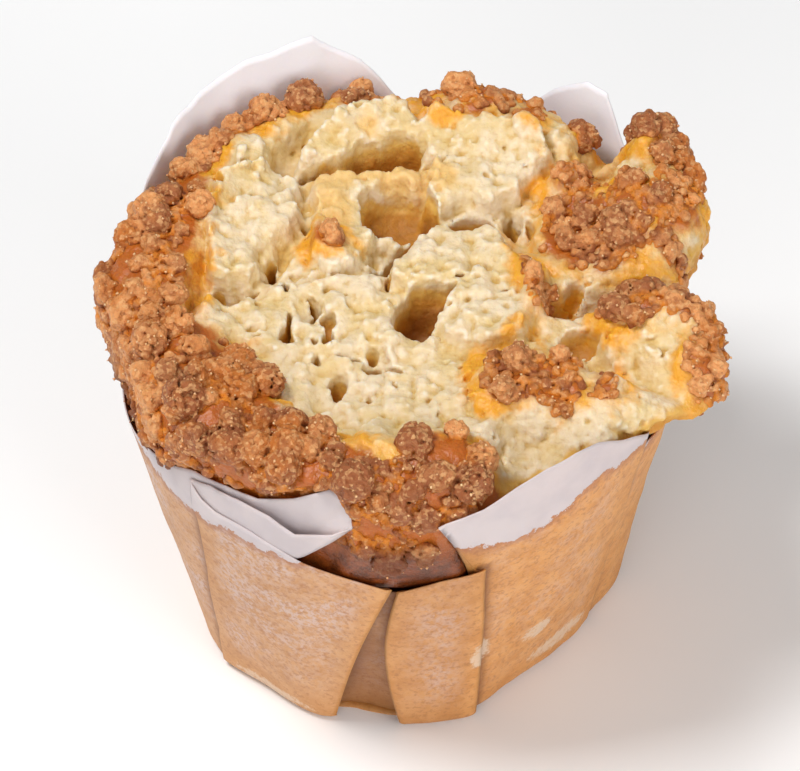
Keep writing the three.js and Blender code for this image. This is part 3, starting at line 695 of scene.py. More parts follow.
# Large lumps of streusel, each on the nearest streusel: place, radius, tone from 0 dark to 1 pale
LARGE_LUMPS = [
    [-39.5, 3.0, 54, 3.0, 0.0], [-38.5, -3.2, 51, 2.6, 0.1], [-27.6, -21.6, 56, 3.0, 0.1],
    [-22.5, -14.2, 58, 2.2, 0.45], [-19.3, -17.6, 58, 2.3, 0.4], [-23.6, -17.6, 58, 2.0, 0.5],
    [-9.6, -32.6, 56, 2.5, 0.75], [-16.4, -30.0, 56, 2.5, 0.8], [0.6, -29.4, 58, 1.9, 0.4],
    [24, 30.6, 58, 2.4, 0.05], [33.4, 26.0, 61, 2.6, 0.1], [36.6, 21.6, 60, 2.2, 0.15],
    [-14.6, 34.0, 59, 2.9, 0.2], [-19.6, 30.6, 58, 2.5, 0.55], [-25.8, 24.6, 57, 2.4, 0.6],
    [28.6, -3.4, 58, 2.2, 0.15], [14.0, -15.0, 58, 2.0, 0.4], [2.4, -37.0, 46, 1.7, 0.95],
    [-10.8, 8.0, 58, 1.7, 0.8], [-32, -12, 57, 2.6, 0.3], [-33.5, 10, 57, 2.4, 0.65],
    [30, 28.4, 61, 1.9, 0.05], [31.6, 24.6, 61, 2.2, 0.0], [35, 23.6, 60, 2.4, 0.1],
    [38, 19.4, 59, 2.0, 0.1], [36.8, 24.6, 60, 2.0, 0.2], [33, 21.6, 61, 1.8, 0.3],
    [26.8, -5.6, 58, 2.1, 0.1], [30.4, -5.2, 58, 1.9, 0.1], [28.6, -8.0, 57, 1.5, 0.2],
    [24, 13, 57, 1.7, 0.2], [20, 9, 57, 1.6, 0.4], [28, 11, 57, 1.8, 0.2], [31, 15, 57, 1.6, 0.4],
    [18.5, 15.5, 57, 1.4, 0.5],
]
# Where butter glaze lies bare between the streusel and the crumb: x, y, half sizes, turn
BARE_GLAZE = [
    [4.5, -30, 4.4, 2.6, 5], [-15.5, -23.4, 7.5, 2.0, -28], [-28.6, 2, 1.9, 12, 2],
    [-26, -12, 1.8, 3.5, 30],
]
# Change of the streusel's tone round the rim: higher at the left as painted light, lower at the front
RIM_TONE_AND_LIGHT = [
    [-150, 0.1], [-110, 0.15], [-72, 0.25], [-55, 0.0], [-35, -0.35], [-15, -0.45], [0, -0.2],
    [60, 0.2], [100, 0.1], [150, 0.1],
]
GRANULE_GAP = 1.05
GRANULE_SIZES = (0.4, 0.85)
LUMP_GAP = 3.5
LUMP_SIZES = [1.3, 1.7, 2.1, 2.5, 3.0]
LUMP_LEAST_DEPTH = 1.5  # inside the streusel's edge
RIGHT_SIDE = (7, 15)  # from here to here along x, the lumps get smaller and the granules closer


def granules(places, normals, depths, random):
    """Centres, radii and tones of all granules: a close layer, with lumps heaped on it."""
    layer = spread(places, GRANULE_GAP)
    cover = 0.35 * smoothstep(depths[layer], 1, 4)
    cover = cover + 0.6 * smoothstep(places[layer][:, 0], *RIGHT_SIDE)
    layer = layer[smooth_noise(places[layer], 2.6, 56) > 0.1 - cover]
    centre = places[layer] + normals[layer] * random.uniform(-0.35, 0.2, (len(layer), 1))
    size = random.uniform(*GRANULE_SIZES, len(layer)) * (0.75 + 0.25 * smoothstep(depths[layer], 0, 2))
    tone = np.clip(0.5 + 0.5 * smooth_noise(centre, 4, 57) + random.normal(0, 0.15, len(layer)), 0, 1)
    parts = [(centre, size, tone)]
    heaps = spread(places, LUMP_GAP)
    heaps = heaps[(depths[heaps] > LUMP_LEAST_DEPTH) & (random.random(len(heaps)) < 0.92)]
    for i in heaps:
        whole = random.choice(LUMP_SIZES) * random.uniform(0.85, 1.1)
        whole *= 0.65 + 0.35 * smoothstep(depths[i], 1, 3.5)
        whole *= 0.66 + 0.34 * max(normals[i][2], 0)
        whole *= 1 - 0.4 * smoothstep(places[i][0], *RIGHT_SIDE)
        middle = places[i] + normals[i] * whole * random.uniform(0.1, 0.45)
        parts.append(heap(middle, whole, random.random(), random))
    for *spot, whole, shade in LARGE_LUMPS:
        i = np.argmin(((places - spot) ** 2).sum(axis=1))
        parts.append(heap(places[i] + 0.35 * whole * normals[i], whole, shade, random))
    centre, size, tone = (np.concatenate(values) for values in zip(*parts))
    azimuth = np.degrees(np.arctan2(centre[:, 0], -centre[:, 1]))
    # Tone shifted round the rim: lighter at the left as painted light, darker at the front
    tone = np.clip(tone + around(RIM_TONE_AND_LIGHT, azimuth), 0, 1)
    return drawn_in(centre, size), size, tone


def drawn_in(centre, size):
    """Granules moved inward until none passes the outline of the crown or the paper."""
    azimuth = np.degrees(np.arctan2(centre[:, 0], -centre[:, 1]))
    radius = np.hypot(centre[:, 0], centre[:, 1])
    limit = around(CROWN_EDGE, azimuth) + 1.3
    limit = np.minimum(limit, clear_radius(azimuth, centre[:, 2]) + 0.25)
    share = np.minimum(1, (limit - size) / radius)
    return centre * np.stack([share, share, 0 * share + 1], axis=1)


def clear_radius(azimuth, z):
    """How far out the cake may reach without passing through its paper or hiding the flap."""
    paper_top = around(PAPER_EDGE, azimuth)
    on_tip = (azimuth > tip_edge(z) - 0.8) & (azimuth < 16) & (z > 41)
    paper_top = np.where(on_tip, 55.0, paper_top)
    reach = cup_radius(azimuth, z) + around(EDGE_BEND, azimuth) * smoothstep(z, 44, 60) - 0.3
    reach = reach + 1.2 * front_dip(azimuth, z) * smoothstep(z, 35.5, 38)
    reach = reach + 1.6 * np.maximum(z - paper_top + 0.3, 0)
    at, back, top = np.array(FLAP_BACK).T
    within = smoothstep(azimuth, -60, -53) * (1 - smoothstep(azimuth, -11.5, -8.5))
    flap = np.interp(azimuth, at, back) - 0.5 + 1.0 * np.maximum(z - np.interp(azimuth, at, top), 0)
    return np.minimum(reach, flap + 30 * (1 - within))


SECTORS = {"left": (-150, -68), "front": (-68, 12), "right": (12, 122), "back": (122, 210)}
FUSE = 11.0  # how sharply granules keep their own shape where they meet, per millimetre
BURIED = 0.55


def make_streusel(cake_grid, cake_field, points, faces, material, sugar_material):
    random = np.random.default_rng(20)
    places, normals, depths = streusel_seeds(points, faces, random)
    centre, size, tone = granules(places, normals, depths, random)
    azimuth = np.degrees(np.arctan2(centre[:, 0], -centre[:, 1]))
    tops = []
    for name, (start, end) in SECTORS.items():
        mine = ((azimuth - start) % 360) < (end - start)
        tops.append(streusel_sector("streusel_" + name, centre[mine], size[mine], tone[mine],
                                    cake_grid, cake_field, material))
    places, normals = (np.concatenate(values) for values in zip(*tops))
    make_sand(places, normals, sugar_material, random)


def streusel_sector(name, centre, size, tone, cake_grid, cake_field, material):
    grid = Grid(centre.min(axis=0) - 3.5, centre.max(axis=0) + 3.5, STREUSEL_STEP)
    heat = np.zeros(grid.shape, np.float32)
    shade = np.zeros(grid.shape, np.float32)
    margin = 0.9
    for (cx, cy, cz), radius, own in zip(centre, size, tone):
        spans = []
        for axis, middle in enumerate((cx, cy, cz)):
            start = int((middle - radius - margin - grid.low[axis]) / grid.step)
            stop = int((middle + radius + margin - grid.low[axis]) / grid.step) + 2
            spans.append(slice(max(start, 0), stop))
        dx = grid.x[spans[0]] - cx
        dy = grid.y[:, spans[1]] - cy
        dz = grid.z[:, :, spans[2]] - cz
        gain = np.exp(-FUSE * (np.sqrt(dx * dx + dy * dy + dz * dz) - radius))
        block = tuple(spans)
        heat[block] += gain
        shade[block] += gain * own
    distance = -np.log(np.maximum(heat, 1e-9)) / FUSE
    tones = shade / np.maximum(heat, 1e-9)
    band = np.abs(distance) < 0.8
    at = grid.points(band)
    distance[band] -= 0.3 * (lumps(at, 0.9, 61) - 0.45) + 0.12 * smooth_noise(at, 0.6, 62)
    # Nothing is drawn deeper than BURIED under the crumb
    near = distance < 1.0
    cake = cake_grid.sample(cake_field, grid.points(near))
    distance[near] = np.maximum(distance[near], -(cake + BURIED))
    points, faces = grid.skin(distance)
    points, faces = drop_specks(points, faces)
    normal = vertex_normals(points, faces)
    points = points + normal * (0.05 * smooth_noise(points, 0.4, 63))[:, None]
    lift = cake_grid.sample(cake_field, points)
    crest = crest_of(points, faces, 3)
    piece(
        name, points, faces, material, ["cake"], "cake",
        tone=grid.sample(tones, points), lift=lift, crest=crest,
    )
    proud = (crest > 0.03) & (lift > 0.4)
    return points[proud], vertex_normals(points, faces)[proud]


def drop_specks(points, faces):
    """Leaves out specks that hang free of everything else, or touch it only at a point or an edge."""
    ends = np.sort(np.stack([faces, np.roll(faces, -1, axis=1)], axis=-1), axis=-1).astype(np.int64)
    edge = np.unique(ends[..., 0] * len(points) + ends[..., 1], return_inverse=True)[1]
    edge = edge.reshape(faces.shape)
    crowded = np.bincount(edge.ravel()) > 2
    label = np.arange(len(faces))
    while True:
        lowest = np.full(len(crowded), len(faces))
        for side in range(4):
            np.minimum.at(lowest, edge[:, side], label)
        lowest[crowded] = len(faces)
        fresh = np.minimum(label, lowest[edge].min(axis=1))
        fresh = fresh[fresh]
        if (fresh == label).all():
            break
        label = fresh
    _, which, count = np.unique(label, return_inverse=True, return_counts=True)
    kept = faces[count[which] > SPECK_FACES]
    used, number = np.unique(kept, return_inverse=True)
    return points[used], number.reshape(kept.shape)


def make_sand(places, normals, material, random):
    """Loose grains of sugar and flour, half sunk into the streusel."""
    pick = random.choice(len(places), SAND_GRAINS)
    base = np.array(
        [[1, 0, 0], [-1, 0, 0], [0, 1, 0], [0, -1, 0], [0, 0, 1], [0, 0, -1]], float
    )
    triangles = np.array(
        [[0, 2, 4], [2, 1, 4], [1, 3, 4], [3, 0, 4], [2, 0, 5], [1, 2, 5], [3, 1, 5], [0, 3, 5]]
    )
    points, faces, tones = [], [], []
    for n, i in enumerate(pick):
        size = random.uniform(0.1, 0.26)
        middle = places[i] + normals[i] * size * 0.4
        turn = np.linalg.qr(random.normal(size=(3, 3)))[0]
        turn[:, 0] *= np.sign(np.linalg.det(turn))
        points.append(middle + (base * random.uniform(0.7, 1.3, (6, 1))) @ turn.T * size)
        faces.append(triangles + 6 * n)
        tones.append(np.full(6, random.random()))
    points = np.concatenate(points)
    piece(
        "streusel_sand", points, np.concatenate(faces), material, ["cake"], "cake",
        tone=np.concatenate(tones),
    )


# The paper case: one sheet that runs round the cake and doubles back at every pleat.
# Azimuth at the foot, at 41 mm and at 53 mm, layer at the foot and at the rim, free edge, dry band
# and, where the fold is curved, its bow in degrees
PAPER_STATIONS = [
    [-98, -93, -90, 0.3, 0.3, 45.2, 0], [-84, -78, -74, 0.1, 0.1, 44.9, 0.2],
    [-76, -70, -66, 0, 0, 44.8, 1.2], [-70, -63, -60, 0, 0, 45.8, 3.4], [-64, -56.5, -53, 0, 0, 47.6, 5.5],
    [-58, -47.5, -46.5, 0, 0, 50.4, 9], [-53, -41.5, -38.5, 0, 0, 51.3, 10],
    [-48.5, -36, -31, 0, 0, 51.6, 11], [-45, -31.5, -24.5, 0, 0, 53.8, 12],
    [-43, -28.5, -19.4, 0, 0, 56.6, 14], [-41.8, -27, -15, 0.1, 0.5, 55.4, 14],
    [-41, -26, -11.4, 0.2, 1.5, 53.4, 13], [-40.8, -25.6, -9.8, 0.3, 2.3, 51.4, 11],
    [-41.4, -26.4, -12, 0.4, 2.7, 50, 9], [-44, -29.5, -19, 0.4, 2.6, 48.5, 7],
    [-47, -33, -27, 0.4, 1.8, 50.2, 8.4], [-51, -38, -34.5, 0.4, 1.2, 50.6, 8.6],
    [-55, -43.5, -42, 0.35, 0.7, 50.2, 8.4], [-58.6, -46.2, -46.2, 0.3, 0.5, 49.2, 6],
    [-60, -47.6, -47.6, 0.55, 0.7, 49, 5.4], [-59.2, -46.8, -46.8, 0.8, 1, 48.4, 5],
    [-57.2, -44.4, -44.4, 0.9, 1.2, 47, 4], [-54, -41, -41, 1, 1.3, 46.2, 2.8],
    [-46, -32.4, -32.4, 1.3, 1.5, 45.4, 2.2], [-40, -25, -25, 1.4, 1.6, 43.4, 1.4],
    [-35, -19, -19, 1.6, 1.6, 41.6, -1.5], [-30, -11, -11, 1.7, 1.6, 39.9, -4],
    [-24, -4.4, -4.4, 2.2, 1.7, 38.7, -4], [-22.6, -3.2, -3.2, 1.9, 1.3, 38.6, -4],
    [-23.6, -4.2, -4.2, 1.2, 0.8, 38.4, -4], [-31, -8, -8, 0.2, 0.5, 37, -4],
    [-32, -8.6, -8.6, -0.8, 0.3, 36.6, -4], [-30, -8, -8, -2.2, 0, 36.4, -4],
    [-14, -3.6, -3.6, -3.4, -0.3, 36.4, -4], [1.5, 1, 1, -1.4, 0, 36.4, -4], [3, 2, 2, 0, 0.3, 36.8, -4],
    [2, 1.4, 1.4, 0.8, 0.6, 37.2, -4], [-2.2, -2.2, -2.2, 1.2, 0.8, 38, -4, -3],
    [-3.4, -3.2, -3.2, 1.7, 1.2, 38.3, -4, -3.4], [-2.2, -2.2, -2.2, 2, 1.6, 38.5, -4, -3],
    [8, 5.5, 5.5, 1.6, 1.6, 39.9, -4], [17.8, 13.8, 13.8, 1.7, 1.7, 41.2, -4],
    [19, 14.8, 14.8, 1.4, 1.4, 41.3, -4], [17.8, 14, 13.8, 0.9, 0.9, 41, -4],
    [15.4, 13.4, 7.4, 0.8, 0.8, 40.6, -4], [14.4, 13, 5.6, 0.4, 0.4, 41, -4],
    [14.6, 13.2, 4.4, 0.2, 0.2, 52.8, 5], [15.6, 14, 6.4, 0, 0.2, 53.6, 6.6],
    [20, 17.4, 14.2, 0, 0.2, 55.6, 9], [27, 22.6, 20.4, 0.1, 0.2, 58.6, 12.4],
    [34, 28.6, 26, 0.2, 0.3, 60.6, 13.4], [42, 34.6, 32, 0.4, 0.5, 61.4, 12],
    [50, 40, 38, 0.5, 0.6, 60.2, 8.6], [58, 45.6, 44, 0.6, 0.6, 57.4, 5.9],
    [66, 51, 49.6, 0.6, 0.6, 54.8, 3.6], [71.6, 55.6, 54.4, 0.6, 0.6, 52.2, 1.8],
    [73, 56.8, 55.6, 0.4, 0.4, 51.8, 1.4], [71.6, 55.6, 54.6, 0.2, 0.2, 51.2, 1],
    [66.5, 51, 50.5, 0.1, 0.1, 50, 0.6], [65.5, 50.2, 50, -0.1, -0.1, 50, 0.6],
    [66.5, 51, 50.8, -0.4, -0.4, 49.8, 0.6], [78, 60, 60, -0.1, -0.1, 47.2, 0.4],
    [80.2, 62, 62, 0.2, 0.2, 47, 0.2], [86, 70, 70, 0.6, 0.6, 47, 0], [91.8, 77.4, 77.4, 0.8, 0.8, 47, 0],
    [92.8, 78.4, 78.4, 0.5, 0.5, 47, 0], [91.8, 77.4, 77.4, 0.2, 0.2, 47, 0], [88, 73, 73, 0.1, 0.1, 47, 0],
    [87.2, 72.2, 72.2, -0.2, -0.2, 47, 0], [88, 73, 73, -0.5, -0.5, 47, 0], [97, 84, 84, -0.3, -0.3, 47, 0],
    [110, 99, 99, 0.3, 0.3, 47, 0], [123.2, 112, 112, 0.9, 0.9, 47, 2],
    [124.6, 113.2, 113.2, 0.6, 0.6, 47, 2], [123.2, 112, 112, 0.3, 0.3, 47.2, 3],
    [119, 108, 108, 0.2, 0.2, 47.2, 3], [118, 107.2, 107.2, -0.1, -0.1, 47.3, 3],
    [119, 108, 108, -0.4, -0.4, 47.4, 3], [128, 118, 118, -0.2, -0.2, 48.2, 5],
    [134, 127, 127, 0.2, 0.2, 51, 8], [141, 136, 136, 0.4, 0.3, 55.3, 13],
    [149, 145, 142.6, 0.8, 0.3, 60.2, 17], [151, 147, 143.2, 0.6, 0.3, 60.6, 17.4],
    [149, 145.4, 143.8, 0.3, 0.3, 60.9, 17.6], [145.5, 142, 144.4, 0.2, 0.3, 61.1, 17.8],
    [144.8, 141.4, 145, -0.1, 0.3, 61.2, 18], [145.5, 142, 145.6, -0.4, 0.3, 61.2, 18],
    [154, 153, 153, 0.1, 0.2, 58, 14], [163, 163, 163, 0.3, 0.3, 50.4, 7], [178, 179, 179, 0.7, 0.7, 51, 7],
    [190, 194, 190, 0.9, 0.3, 59.5, 15], [191.6, 195.6, 191, 0.6, 0.3, 60.4, 16],
    [190.4, 194.4, 192, 0.3, 0.3, 61.3, 17], [186, 190, 193, 0.2, 0.3, 62.2, 18],
    [185.2, 189.2, 194, -0.1, 0.3, 63, 19], [186, 190, 195, -0.4, 0.3, 63.7, 20],
    [196, 198.6, 198.6, 0.2, 0.2, 65, 22], [208, 212, 212, 0.5, 0.2, 64.4, 23],
    [224, 227, 224, 0.7, 0.3, 62.9, 22], [225.4, 228.4, 224.8, 0.5, 0.3, 62.8, 22],
    [224.2, 227.2, 225.6, 0.2, 0.3, 62.6, 22], [220, 223, 226.4, 0.1, 0.3, 62.4, 22],
    [219.2, 222.2, 227.2, -0.2, 0.3, 62.2, 21], [220, 223, 228, -0.5, 0.3, 62, 21],
    [230, 232, 232, 0, 0.2, 61, 20], [238, 241, 241, 0.3, 0.2, 58, 15], [247, 250, 250, 0.5, 0.2, 54.6, 12],
    [255, 257.5, 257.5, 0.7, 0.7, 49, 5], [256.4, 258.9, 258.9, 0.4, 0.4, 48.2, 4],
    [255, 257.5, 257.5, 0.1, 0.1, 48.4, 4], [252.5, 255, 255, 0, 0, 48.6, 4],
    [251.9, 254.4, 254.4, -0.2, -0.2, 48.6, 4], [252.5, 255, 255, -0.5, -0.5, 48.4, 3],
    [262, 267, 270, 0.3, 0.3, 45.2, 0],
]
# Pale, dry patches of the stained paper: azimuth, height, half width in degrees, half height
WORN_PATCHES = [
    [-42, 2.2, 15, 1.5], [52, 6.0, 15, 2.4], [17, 18, 3.5, 3.5], [37, 15, 6, 2.5], [-78, 27, 4, 5],
]
LAYER_GAP = 0.6  # between folded layers
TUCK_SHADE = 1.0  # how far the painted shade reaches on the paper beside the fold that lies over it
PAPER_THICKNESS = 0.16
PAPER_COLUMN = 1.0  # between drawn columns
PAPER_ROWS_DRAWN = 56
STATION_LOW = 41
STATION_HIGH = 53


def paper_columns():
    """The sheet's columns: stations joined by smooth curves, about a millimetre apart."""
    station = np.array([row if len(row) == 8 else [*row, 0.0] for row in PAPER_STATIONS[:-1]])
    closed = np.vstack([station, station[0] + [360, 360, 360, 0, 0, 0, 0, 0]])
    step = np.diff(closed, axis=0)
    length = np.hypot(np.radians(step[:, 1]) * 36, step[:, 3] + step[:, 4]) + 0.02
    along = np.concatenate([[0], np.cumsum(length)])
    count = int(along[-1] / PAPER_COLUMN * (1.0))
    at = np.sort(np.concatenate([np.linspace(0, along[-1], count, endpoint=False), along[:-1]]))
    at = at[np.concatenate([[True], np.diff(at) > 0.12])]
    columns = np.stack([np.interp(at, along, closed[:, i]) for i in range(closed.shape[1])], axis=1)
    turning = np.flatnonzero(np.diff(np.sign(step[:, 0] + step[:, 1]))) + 1
    crease = np.abs(at[:, None] - along[turning][None]).min(axis=1)
    return columns, at, crease


def paper_wall_points():
    columns, at, crease = paper_columns()
    rows = np.linspace(0, 1, PAPER_ROWS_DRAWN) ** 0.9
    foot, middle, high, layer_foot, layer_rim, top, band, bow = (c[:, None] for c in columns.T)
    top = top + 0.22 * smooth_noise(np.stack([at, 0 * at, 0 * at], axis=-1), 3.0, 71)[:, None]
    z = top * rows
    above = np.clip((z - STATION_LOW) / (STATION_HIGH - STATION_LOW), 0, 1.3)
    below = np.minimum(z, STATION_LOW) / STATION_LOW
    azimuth = foot + (middle - foot) * below + (high - middle) * above
    azimuth = azimuth + bow * np.sin(np.pi * np.clip(z / 38, 0, 1))
    rise = np.where(layer_foot < -0.5, np.clip(z / 36, 0, 1), smoothstep(z, 39, 51))
    layer = layer_foot + (layer_rim - layer_foot) * rise
    upright = smoothstep(azimuth, -66, -56) * (1 - smoothstep(azimuth, -8, -2))
    radius = cup_radius(azimuth, z - upright * np.maximum(z - RIM_HEIGHT, 0)) + LAYER_GAP * layer + 0.25
    radius = radius + around(EDGE_BEND, azimuth) * smoothstep(z, 44, 60)
    radius = radius - 0.7 * np.clip(1 - z / 1.2, 0, 1) ** 2
    flat = plan_point(azimuth, 36 + 0 * azimuth, z)
    radius = radius + 0.28 * smooth_noise(flat, 9, 72) + 0.1 * smooth_noise(flat, 3.2, 73)
    points = plan_point(azimuth, radius, z)
    worn = 0 * z
    for patch_azimuth, patch_z, half_azimuth, half_z in WORN_PATCHES:
        away = ((azimuth - patch_azimuth) / half_azimuth) ** 2 + ((z - patch_z) / half_z) ** 2
        worn = np.maximum(worn, np.exp(-(away**2)))
    # Distance inside the dry band along the free edge, in millimetres
    dry = band - (top - z)
    # Painted shade: darker on the layers under each fold, beside the fold's line
    tuck = 0 * z
    for fold in np.flatnonzero((crease < 0.13) & (layer_foot[:, 0] > 0.25)):
        over = np.interp(z, z[fold], azimuth[fold])
        away = np.abs(azimuth - over) * np.radians(radius)
        under = (layer < layer[fold].mean() - 0.15) & (z < z[fold, -1])
        tuck = np.maximum(tuck, under * np.exp(-((away / TUCK_SHADE) ** 2)))
    # Painted shade in the pleats, on the layers folded under the others
    tuck = np.maximum(tuck, 0.7 * smoothstep(-layer, 0.3, 1.8))
    # Painted shade: the narrow panel in the middle of the front is drawn darker
    tuck = np.maximum(tuck, 0.2 * smoothstep(azimuth, -7, -3) * (1 - smoothstep(azimuth, 13, 16)))
    return points, dry, worn, tuck, np.repeat(crease[:, None], len(rows), axis=1)


def solid_sheet(points):
    """Closed sheet of paper round a net of points: both faces and the edges between them."""
    columns, rows = points.shape[:2]
    ahead = np.roll(points, -1, axis=0) - np.roll(points, 1, axis=0)
    up = np.gradient(points, axis=1)
    normal = np.cross(ahead, up)
    normal /= np.maximum(np.linalg.norm(normal, axis=2, keepdims=True), 1e-9)
    outer = (points + normal * PAPER_THICKNESS / 2).reshape(-1, 3)
    inner = (points - normal * PAPER_THICKNESS / 2).reshape(-1, 3)
    column, row = np.meshgrid(np.arange(columns), np.arange(rows - 1), indexing="ij")
    following = (column + 1) % columns
    here, right = column * rows + row, following * rows + row
    quads = np.stack([here, right, right + 1, here + 1], axis=-1).reshape(-1, 4)
    total = columns * rows
    start = np.arange(columns) * rows
    after = (np.arange(columns) + 1) % columns * rows
    foot = np.stack([start + total, after + total, after, start], axis=-1)
    top = rows - 1
    edge = np.stack([start + top, after + top, after + top + total, start + top + total], axis=-1)
    faces = np.concatenate([quads, quads[:, ::-1] + total, foot, edge])
    return np.concatenate([outer, inner]), faces


def soaked(points):
    """How deep orange the butter has made the paper: most at the right, least at the left."""
    azimuth = np.degrees(np.arctan2(points[..., 0], -points[..., 1]))
    front = 0.5 * smoothstep(azimuth, -24, -4)
    right = 0.4 * smoothstep(azimuth, 4, 30) + 0.5 * smoothstep(azimuth, 58, 66)
    return front + right * (1 - smoothstep(azimuth, 90, 120))


def make_paper(material):
    points, dry, worn, tuck, crease = paper_wall_points()
    sheet, faces = solid_sheet(points)
    both = lambda values: np.tile(values.ravel(), 2)
    piece(
        "paper_wall", sheet, faces, material, ["paper_case"], "parchment",
        dry=both(dry), worn=both(worn), crease=both(crease), height=both(points[..., 2]),
        tuck=both(tuck), soak=both(soaked(points)),
    )
    make_paper_floor(material)


def make_paper_floor(material):
    """The floor of the case, a little wrinkled."""
    columns, rings = 160, 24
    azimuth = np.arange(columns) * 360 / columns
    reach = around(PAPER_FOOT, azimuth) - 0.7
    share = np.linspace(0, 1, rings)[1:]
    nets = []
    for z in (0.02, 0.02 + PAPER_THICKNESS):
        for ring in share:
            points = plan_point(azimuth, reach * ring, z)
            points[:, 2] += 0.12 * (1 + smooth_noise(points * [1, 1, 0], 6, 81)) * (1 - ring**6)
            nets.append(points)
    middles = np.array([[0, 0, 0.1], [0, 0, 0.1 + PAPER_THICKNESS]])
    points = np.concatenate(nets + [middles])
    column = np.arange(columns)
    right = (column + 1) % columns
    size = len(share)
    ring = np.arange(size - 1)[:, None] * columns
    beyond = ring + columns
    under = np.stack([ring + column, beyond + column, beyond + right, ring + right], axis=-1)
    over = under[..., ::-1] + size * columns
    last = (size - 1) * columns
    rim = np.stack([last + column, last + size * columns + column, last + size * columns + right,
                    last + right], axis=-1)
    faces = np.concatenate([under.reshape(-1, 4), over.reshape(-1, 4), rim])
    first = len(points) - 2
    bottom = np.stack([first + 0 * column, column, right], axis=-1)
    upper = np.stack([first + 1 + 0 * column, size * columns + right, size * columns + column], axis=-1)
    triangles = np.concatenate([faces[:, [0, 1, 2]], faces[:, [0, 2, 3]], bottom, upper])
    blank = np.zeros(len(points))
    piece(
        "paper_floor", points, triangles[:, ::-1], material, ["paper_case"], "parchment",
        dry=blank - 40, worn=blank, crease=blank + 9, height=blank, tuck=blank, soak=blank + 0.5,
    )


# Materials
def linear(red, green, blue):
    """Screen colour from 0 to 255 as the light it stands for."""
    values = []
    for value in (red, green, blue):
        share = value / 255
        values.append(share / 12.92 if share <= 0.04045 else ((share + 0.055) / 1.055) ** 2.4)
    return (*values, 1.0)


class Nodes:
    """Short names for the shader nodes that the materials are drawn with."""

    def __init__(self, name):
        self.material = bpy.data.materials.new(name)
        self.material.use_nodes = True
        self.tree = self.material.node_tree
        self.shader = self.tree.nodes["Principled BSDF"]

    def node(self, kind, **settings):
        made = self.tree.nodes.new("ShaderNode" + kind)
        for key, value in settings.items():
            setattr(made, key, value)
        return made

    def link(self, source, socket):
        if isinstance(source, (int, float, tuple)):
            socket.default_value = source
        else:
            self.tree.links.new(source, socket)

    def attribute(self, name):
        return self.node("Attribute", attribute_type="GEOMETRY", attribute_name=name).outputs["Fac"]

    def place(self):
        """Place on the muffin in millimetres."""
        coordinates = self.node("TexCoord").outputs["Object"]
        scaled = self.node("VectorMath", operation="SCALE")
        self.link(coordinates, scaled.inputs[0])
        scaled.inputs["Scale"].default_value = 1 / MM
        return scaled.outputs["Vector"]

    def stretch(self, place, by):
        scaled = self.node("VectorMath", operation="MULTIPLY")
        self.link(place, scaled.inputs[0])
        scaled.inputs[1].default_value = by
        return scaled.outputs["Vector"]

    def part(self, place, axis):
        """One coordinate of a place."""
        parts = self.node("SeparateXYZ")
        self.link(place, parts.inputs[0])
        return parts.outputs[axis]

    def noise(self, place, size, detail=3.0, rough=0.55):
        made = self.node("TexNoise")
        self.link(place, made.inputs["Vector"])
        made.inputs["Scale"].default_value = 1 / size
        made.inputs["Detail"].default_value = detail
        made.inputs["Roughness"].default_value = rough
        return made.outputs["Fac"]

    def cells(self, place, size):
        made = self.node("TexVoronoi")
        self.link(place, made.inputs["Vector"])
        made.inputs["Scale"].default_value = 1 / size
        return made.outputs["Distance"]

    def grains(self, place, size):
        """A number of its own for each grain about size across."""
        made = self.node("TexVoronoi")
        self.link(place, made.inputs["Vector"])
        made.inputs["Scale"].default_value = 1 / size
        parts = self.node("SeparateColor")
        self.link(made.outputs["Color"], parts.inputs[0])
        return parts.outputs[0]

    def math(self, kind, a, b):
        made = self.node("Math", operation=kind)
        self.link(a, made.inputs[0])
        self.link(b, made.inputs[1])
        return made.outputs[0]

    def plus(self, a, b):
        return self.math("ADD", a, b)

    def minus(self, a, b):
        return self.math("SUBTRACT", a, b)

    def times(self, a, b):
        return self.math("MULTIPLY", a, b)

    def ramp(self, value, low, high):
        """0 below low and 1 above high, smoothly between; the other way round if low > high."""
        made = self.node("MapRange", interpolation_type="SMOOTHSTEP")
        self.link(value, made.inputs["Value"])
        down = low > high
        made.inputs["From Min"].default_value = min(low, high)
        made.inputs["From Max"].default_value = max(low, high)
        made.inputs["To Min"].default_value = 1.0 if down else 0.0
        made.inputs["To Max"].default_value = 0.0 if down else 1.0
        return made.outputs["Result"]

    def mix(self, share, a, b):
        made = self.node("Mix", data_type="RGBA")
        self.link(share, made.inputs[0])
        self.link(a, made.inputs[6])
        self.link(b, made.inputs[7])
        return made.outputs[2]

    def over(self, base, value, low, high, colour, most=1.0):
        """A colour laid over the base where the value passes from low to high."""
        share = self.ramp(value, low, high)
        return self.mix(share if most == 1 else self.times(share, most), base, linear(*colour))

    def bump(self, height, distance, strength=1.0):
        made = self.node("Bump")
        self.link(height, made.inputs["Height"])
        made.inputs["Distance"].default_value = distance * MM
        made.inputs["Strength"].default_value = strength
        self.link(made.outputs["Normal"], self.shader.inputs["Normal"])

    def finish(self, colour, roughness, depth=0.0, soft=0.0, reach=(1.0, 0.5, 0.25)):
        self.link(colour, self.shader.inputs["Base Color"])
        self.link(roughness, self.shader.inputs["Roughness"])
        self.shader.inputs["Subsurface Weight"].default_value = soft
        self.shader.inputs["Subsurface Radius"].default_value = reach
        self.shader.inputs["Subsurface Scale"].default_value = depth * MM
        return self.material


